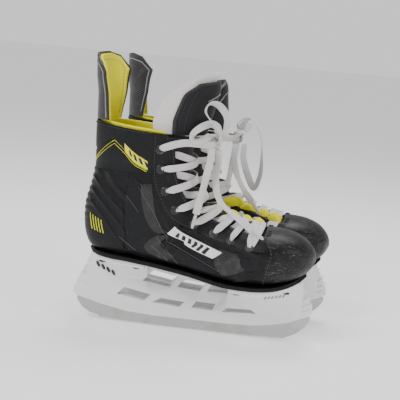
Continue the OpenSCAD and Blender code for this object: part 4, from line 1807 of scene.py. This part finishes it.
@dataclass
class Bottom:
    """Outsole, boards, blade holder, runner and fasteners."""

    pair: Pair
    last: Last
    frame: dict
    outline: tuple[Uv, ...] = ((-108, 7), (-103, 17), (-94, 25), (-80, 29), (-60, 29.5), (-36, 29.5),
                               (-4, 31.5),
                               (30, 36.5), (60, 38.5), (80, 36), (94, 29), (104, 20), (111, 9))
    skin: BVHTree | None = None

    def plate(self, name: str, low: float, high: float, inset: float, cut: float,
              round_mm: float) -> bpy.types.Object:
        """Make a plate that follows the sole's profile.

        Args:
            name: Piece name.
            low: Underside over the sole's profile.
            high: Top over the sole's profile.
            inset: Distance in from the outline.
            cut: Distance off both ends.
            round_mm: Edge radius.

        Returns:
            The plate.
        """
        line = [(self.last.point(u, 0).x, self.last.point(u, 0).z) for u in [4 + 0.25 * k for k in range(43)]]
        rows = []
        steps = 60
        for i in range(steps + 1):
            x = mix(-108 + cut, 111 - cut, 0.5 - 0.5 * math.cos(math.pi * i / steps))
            half = table(self.outline, x) - inset
            z = table(line, x) + low
            rows.append([Vector((x, mix(-half, half, j / 12), z)) for j in range(13)])
        made = grid_object(name, rows, outward=Vector((0, 0, -1)))
        apply(made, "SOLIDIFY", thickness=(high - low) * MM, offset=-1.0)
        apply(made, "BEVEL", width=round_mm * MM, segments=3, limit_method="ANGLE",
              angle_limit=math.radians(50))
        soften(made)
        return made

    def carry(self, node: str, material: bpy.types.Material, bevel: float = 0.0,
              crease: float = 35.0) -> None:
        """Take a CAD node over on both skates, with its edges rounded.

        Args:
            node: The CAD node, without the side.
            material: Its finish.
            bevel: Radius of its rounded edges; 0 leaves them sharp.
            crease: Angle past which an edge stays sharp.
        """
        for skate in self.pair.skates:
            source = self.frame["nodes"][f"{skate.name}_{node}"]
            made = source.copy()
            made.data = source.data.copy()
            made.name = f"{skate.name}_{node}.look"
            bpy.context.scene.collection.objects.link(made)
            only(made)
            bpy.ops.object.mode_set(mode="EDIT")
            bpy.ops.mesh.select_all(action="SELECT")
            bpy.ops.mesh.remove_doubles(threshold=0.00002)
            bpy.ops.mesh.normals_make_consistent(inside=False)
            bpy.ops.mesh.dissolve_limited(angle_limit=math.radians(1.0))
            bpy.ops.object.mode_set(mode="OBJECT")
            if bevel:
                apply(made, "BEVEL", width=bevel * MM, segments=2, limit_method="ANGLE",
                      angle_limit=math.radians(40), use_clamp_overlap=True)
            soften(made, crease)
            made.data.materials.clear()
            made.data.materials.append(material)
            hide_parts(f"{skate.name}_{node}")
            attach(made, f"{skate.name}_{'blade' if node == 'blade' else 'skate'}")
        log.info("%s: carried over on both skates", node)

    def on_holder(self, x: float, z: float) -> Vector:
        """Find the holder's outer side.

        Args:
            x: Distance along the skate in millimetres.
            z: Height in millimetres.

        Returns:
            The point on the outer side, in the skate's own frame.
        """
        skate = self.pair.skates[0]
        if self.skin is None:
            holder = self.frame["nodes"][f"{skate.name}_holder"]
            self.skin = BVHTree.FromPolygons([holder.matrix_world @ v.co for v in holder.data.vertices],
                                             [p.vertices[:] for p in holder.data.polygons])
        start = skate.world(Vector((x, -60.0, z))) * MM
        place, _, _, _ = self.skin.ray_cast(start, Vector((0, 1, 0)))
        y = -60.0 + (place.y - start.y) / MM if place else -14.0
        return Vector((x, y - 0.3, z))

    def bars(self) -> None:
        """Raise the ribs at the holder's ends and lay its printed marks."""
        f = self.pair.finishes
        ribs = []
        for x0, z0, x1, z1, y in ((-112, 54, -100, 48.5, 9), (-115, 48, -101, 42, 7.6),
                                  (-118, 39, -102, 34, 6.8),
                                  (112, 55, 104, 49, 10), (116, 48, 108, 42, 7.8), (119, 41, 108, 35.5, 7.0),
                                  (119, 35.5, 108, 29.5, 6.6)):
            for side in (-1, 1):
                ribs.append(rod("rib", [Vector((x0, side * (y - 0.6), z0)),
                                        Vector(((x0 + x1) / 2, side * y, (z0 + z1) / 2)),
                                        Vector((x1, side * (y - 0.4), z1))], 0.9, 8))
        self.pair.dress(join(ribs, "ribs"), "holder_end_ribs", "skate", "holder", f.holder)
        for stem, count, start, step, slant, wide, look in (
                ("rear_marks", 4, (-98.5, -14.25, 61.5), (5.2, -2.6), (2.8, -5.6), 1.4, f.mark),
                ("front_marks", 6, (71, -13.5, 40.4), (3.6, 0.9), (2.2, 3.4), 0.8, f.grey_line)):
            marks = []
            for k in range(count):
                x, z = start[0] + step[0] * k, start[2] + step[1] * k
                line = [self.on_holder(x + slant[0] * t, z + slant[1] * t)
                        for t in (0.0, 0.25, 0.5, 0.75, 1.0)]
                marks.append(rod("mark", line, wide, 6, 0.55, [Vector((0, -1, 0))] * 5))
            self.pair.dress(join(marks, stem), f"holder_{stem}", "skate", "badge", look)

    def build(self) -> None:
        """Build everything under the boot."""
        f = self.pair.finishes
        self.pair.dress(self.plate("outsole", -4.1, -0.2, 0.0, 0.3, 0.8), "outsole", "skate", "outsole",
                        f.sole,
                        ("outsole",))
        self.pair.dress(self.plate("insole_board", 4.1, 6.1, 13.5, 14, 0.3), "insole_board", "skate", "board",
                        f.board, ("insole_board",))
        made = self.plate("footbed", 6.2, 9.2, 13.5, 14, 0.8)
        self.pair.pad(made, "footbed", "skate", "footbed", f.liner, ("footbed",))
        self.carry("holder", f.holder, 0.9)
        self.carry("blade", f.blade, 0.12, 20.0)
        self.carry("blade_bolts", f.hardware)
        self.carry("blade_nuts", f.hardware, 0.3)
        self.carry("holder_rivets", f.dark_metal, 0.3)
        self.bars()


# ---------------------------------------------------------------- laces

@dataclass
class Laces:
    """Flat woven laces: crossings, knot, and the free loops and tails with their tips."""

    pair: Pair
    last: Last
    upper: Upper
    half: float = 3.6
    flat: float = 0.2
    knot: tuple[float, float, float] = (9, -6, 191)
    loop_a: tuple[Place3, ...] = ((3, -12, 197), (-5, -21, 192), (-12, -25, 192), (-13, -26, 198),
                                  (-6, -24, 205),
                                  (3, -17, 209), (9, -10, 206), (10, -7, 200))
    loop_b: tuple[Place3, ...] = ((16, -5, 199), (18, -7, 206), (17, -12, 218), (9, -20, 228), (1, -26, 229),
                                  (-2, -29, 221), (5, -25, 211), (12, -18, 203), (13, -13, 197))
    tail_a: tuple[Place3, ...] = ((6, -14, 186), (6, -19, 174), (4, -23, 160), (2, -27, 146), (0, -30, 134),
                                  (-2, -34, 122))
    tail_b: tuple[Place3, ...] = ((12, -8, 184), (13, -9, 172), (12, -12, 158), (14, -16, 146),
                                  (20, -20, 134),
                                  (31, -25, 126), (42, -31, 120), (54, -37, 113))
    left_loop_a: tuple[Place3, ...] = ((12, 4, 198), (14, 10, 206), (20, 15, 212), (29, 18, 206),
                                       (35, 20, 190),
                                       (37, 22, 172), (37, 23, 154), (32, 22, 140), (24, 18, 152),
                                       (17, 10, 170),
                                       (17, 3, 184))
    left_loop_b: tuple[Place3, ...] = ((15, -5, 197), (20, -9, 204), (19, -17, 209), (12, -23, 209),
                                       (6, -22, 203),
                                       (8, -15, 199), (11, -12, 198))
    left_tail_b: tuple[Place3, ...] = ((8, 4, 183), (7, 10, 170), (10, 15, 157), (16, 20, 145), (24, 25, 134),
                                       (32, 29, 125))
    tip_l: float = 14.0
    tip_r: float = 1.7

    def ribbon(self, name: str, route: Sequence[Vector], ups: Sequence[Vector],
               narrow: bool) -> bpy.types.Object:
        """Make a flat lace; narrow gathers its ends as they enter the eyelets.

        Args:
            name: Piece name.
            route: Its points.
            ups: Way out at each point.
            narrow: Whether the ends gather into eyelets.

        Returns:
            The lace.
        """
        n = len(route)
        sizes = [mix(0.45, 1.0, smooth(0.0, 0.1, min(i, n - 1 - i) / n)) if narrow else 1.0 for i in range(n)]
        made = rod(name, route, self.half, 12, self.flat, ups, not narrow, sizes)
        soften(made, 60)
        return made

    def crossing(self, side: int, i: int, j: int, rise: float) -> bpy.types.Object:
        """Make one crossing from eyelet i on a side until it dives under the other facing at eyelet j.

        Args:
            side: -1 lateral, 1 medial.
            i: Eyelet that it starts from.
            j: Eyelet that it dives under.
            rise: Height over the tongue.

        Returns:
            The crossing.
        """
        u0, v0 = self.last.eyelet_u[i], side * self.last.eyelet_v[i]
        u1, v1 = self.last.eyelet_u[j], side * (2 - self.last.eyelet_v[j])
        keys = [(0.0, 0.4), (0.05, 2.5), (0.12, 3.1), (0.26, 2.5 + rise * 0.3), (0.42, 1.6 + rise * 0.8),
                (0.56, 0.9 + rise), (0.68, 0.2 + rise * 0.5), (0.78, -1.9), (0.9, -2.5)]
        route, ups = [], []
        for t, lift in keys:
            u, v = mix(u0, u1, t), mix(v0, v1, t)
            w = v - 2 if v > 1 else v + 2 if v < -1 else v
            p = self.last.point(u, w)
            proud = self.upper.proud(u, 1) if w > 0 and abs(w) < 0.8 else 0.0
            route.append(p + self.last.normal(u, w) * (lift + proud))
            ups.append(self.last.normal(u, w))
        fine = curve_points(route, 34)
        turned = curve_points(ups, 34)
        for k, up in enumerate(turned):
            along = (fine[min(k + 1, 33)] - fine[max(k - 1, 0)]).normalized()
            roll = Matrix.Rotation(0.22 * math.sin(2 * math.pi * k / 33 + i * 1.9 + side), 3, along)
            turned[k] = roll @ up.normalized()
        return self.ribbon(f"cross_{side}_{i}", fine, turned, True)

    def run(self) -> None:
        """Make the laced run and the knot."""
        pieces = []
        count = len(self.last.eyelet_u)
        for i in range(1, count):
            pieces.append(self.crossing(-1, i, i - 1, 2.4))
            pieces.append(self.crossing(1, i, i - 1, 0.4))
        u, v = self.last.eyelet_u[-1] + 0.1, self.last.eyelet_v[-1]
        spots = [(u, mix(-v, v - 2, k / 16)) for k in range(17)]
        lifts = [0.6 + 2.4 * min(1.0, 8 * min(k, 16 - k) / 16) for k in range(17)]
        route, ups = [], []
        for (u, v), lift in zip(spots, lifts):
            w = v + 2 if v < -1 else v
            route.append(self.last.at(u, w, lift))
            ups.append(self.last.normal(u, w))
        pieces.append(self.ribbon("base", route, ups, True))
        knot = Vector(self.knot)
        for side in (-1, 1):
            u0 = self.last.eyelet_u[0]
            start = [self.last.at(u0, side * 0.60, 0.6), self.last.at(u0 - 0.1, side * 0.64, 3.4),
                     self.last.at(u0 - 0.25, side * 0.76, 4.6), knot + Vector((-4, side * 8, -2.5)), knot]
            fine = curve_points(start, 30)
            pieces.append(self.ribbon(f"up_{side}", fine, [self.last.normal(0.3, side * 0.7)] * 30, False))
        for turn, lean in ((0.0, 0.3), (1.1, -0.5), (2.3, 0.8)):
            ring = []
            for k in range(25):
                a = 2 * math.pi * k / 24 + turn
                ring.append(knot + Vector((4.2 * math.cos(a), (2.4 + lean) * math.sin(a) + lean * 2,
                                           5.2 * math.sin(a + lean))))
            ups = [(p - knot).normalized() for p in ring]
            pieces.append(self.ribbon(f"wrap_{turn}", ring, ups, False))
        self.pair.dress(join(pieces, "lace"), "lace", "skate", "lace", self.pair.finishes.lace, ("lace",))

    def free(self, skate: Skate, stem: str, points: Sequence[Place3], body: str, tipped: bool,
             twist: float) -> None:
        """Args:
            skate: The skate.
            stem: Name, less the side.
            points: Its route in the skate's own frame.
            body: Body that it rides on.
            tipped: Whether it ends in a tip.
            twist: Greatest turn about its length in radians.
        """
        f = self.pair.finishes
        route = [skate.world(Vector(p)) for p in points]
        fine = curve_points(route, 12 * len(points))
        length = sum((b - a).length for a, b in zip(fine, fine[1:]))
        n = len(fine)
        ups = []
        up = Vector((0.25, -1.0, 0.15))
        for k in range(n):
            along = (fine[min(k + 1, n - 1)] - fine[max(k - 1, 0)]).normalized()
            up = (up - along * up.dot(along)).normalized()
            ups.append(Matrix.Rotation(twist * math.sin(2.4 * math.pi * k / n), 3, along) @ up)
        made = self.ribbon(f"{skate.name}_{stem}.look", fine, ups, False)
        made.data.materials.append(f.lace)
        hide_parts(f"{skate.name}_{stem}")
        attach(made, f"{skate.name}_{body}")
        if tipped:
            along = (fine[-1] - fine[-2]).normalized()
            tip = rod(f"{skate.name}_{stem}_tip", [fine[-1] - along * 0.5 + along * (self.tip_l + 0.5) * k / 6
                                                   for k in range(7)], self.tip_r, 12)
            soften(tip, 50)
            tip.data.materials.append(f.tip)
            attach(tip, f"{skate.name}_{body}")
            if stem == "lace_tail_b":
                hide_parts(f"{skate.name}_aglets")
        [tuple(p * MM) for p in fine]
        log.info("%s %s: free length %.0f mm", skate.name, stem, length)

    def build(self) -> None:
        """Make the free lace ends on both skates, then the run."""
        for skate in self.pair.skates:
            left = skate.turn < 0
            holder = "skate" if left else "tongue"
            self.free(skate, "lace_loop_a", self.left_loop_a if left else self.loop_a, holder, False, 0.5)
            self.free(skate, "lace_loop_b", self.left_loop_b if left else self.loop_b, holder, False, 0.5)
            self.free(skate, "lace_tail_a", self.tail_a, "skate", True, 0.35)
            self.free(skate, "lace_tail_b", self.left_tail_b if left else self.tail_b, "skate", True, 0.5)
        self.run()


# ---------------------------------------------------------------- camera, light and size

class Studio:
    """Camera, lights and floor."""

    def camera(self, skate: Skate) -> None:
        """Set the camera a metre off the lateral side of the right skate, a little above it.

        Args:
            skate: The skate that it looks at.
        """
        az, el, roll = (math.radians(a) for a in (5.19, 8.27, 5.29))
        back = Vector((math.sin(az) * math.cos(el), -math.cos(az) * math.cos(el), math.sin(el)))
        target = Vector((-3.4 + skate.dx + 1.0, skate.dy, 131.6))
        right = (-back).cross(Vector((0, 0, 1))).normalized()
        up = right.cross(-back)
        turned = right * math.cos(roll) + up * math.sin(roll)
        upward = up * math.cos(roll) - right * math.sin(roll)
        data = bpy.data.cameras.new("camera")
        data.lens = 92.7
        data.sensor_width = 36.0
        made = bpy.data.objects.new("camera", data)
        bpy.context.scene.collection.objects.link(made)
        made.matrix_world = Matrix((
            (turned.x, upward.x, back.x, (target.x + back.x * 1025) * MM),
            (turned.y, upward.y, back.y, (target.y + back.y * 1025) * MM),
            (turned.z, upward.z, back.z, (target.z + back.z * 1025) * MM),
            (0, 0, 0, 1),
        ))
        bpy.context.scene.camera = made

    def area(self, name: str, place: Place3, size: float, power: float) -> None:
        """Hang a soft light that looks at the pair.

        Args:
            name: Name of the light.
            place: Where it hangs, in metres.
            size: Its width in metres.
            power: Its power in watts.
        """
        data = bpy.data.lights.new(name, "AREA")
        data.shape = "DISK"
        data.size = size
        data.energy = power
        made = bpy.data.objects.new(name, data)
        bpy.context.scene.collection.objects.link(made)
        made.location = place
        made.rotation_euler = (Vector((0, 0, 0.12)) - Vector(place)).to_track_quat("-Z", "Y").to_euler()

    def build(self) -> None:
        """Light the pair and lay a pale floor."""
        self.area("key", (-0.7, -0.9, 1.3), 0.5, 14.0)
        self.area("fill", (1.1, -0.7, 0.7), 0.5, 5.0)
        self.area("top", (0.1, 0.5, 1.4), 0.8, 14.0)
        world = bpy.data.worlds.new("studio")
        world.use_nodes = True
        tree = world.node_tree
        place = tree.nodes.new("ShaderNodeTexCoord")
        parts = tree.nodes.new("ShaderNodeSeparateXYZ")
        fade = tree.nodes.new("ShaderNodeMapRange")
        for name, value in (("From Min", 0.06), ("From Max", 0.2), ("To Min", 0.93), ("To Max", 0.4)):
            fade.inputs[name].default_value = value
        tree.links.new(place.outputs["Generated"], parts.inputs[0])
        tree.links.new(parts.outputs["Z"], fade.inputs["Value"])
        tree.links.new(fade.outputs[0], tree.nodes["Background"].inputs["Strength"])
        tree.nodes["Background"].inputs["Color"].default_value = (1.0, 1.0, 1.0, 1.0)
        bpy.context.scene.world = world
        bpy.ops.mesh.primitive_plane_add(size=60.0, location=(0, 0, -0.0012))
        floor = bpy.context.active_object
        floor.name = "floor"
        bench = Bench("pale_floor")
        floor.data.materials.append(bench.finish((0.8, 0.8, 0.8), 0.7, Emission_Color=(1.0, 1.0, 1.0),
                                                 Emission_Strength=0.5))


def main() -> None:
    """Build the pair."""
    logging.basicConfig(level=logging.INFO, format="%(message)s")
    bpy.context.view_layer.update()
    pair = Pair(Finishes())
    last = Last()
    upper = Upper(pair, last)
    studio = Studio()
    studio.camera(pair.skates[0])
    Laces(pair, last, upper).build()
    upper.build()
    Padding(pair, upper).build()
    Guard(pair).build()
    Tongue(pair, upper).build()
    Bottom(pair, last, frame).build()
    studio.build()
    log.info("pair finished")


if __name__ == "__main__":
    main()
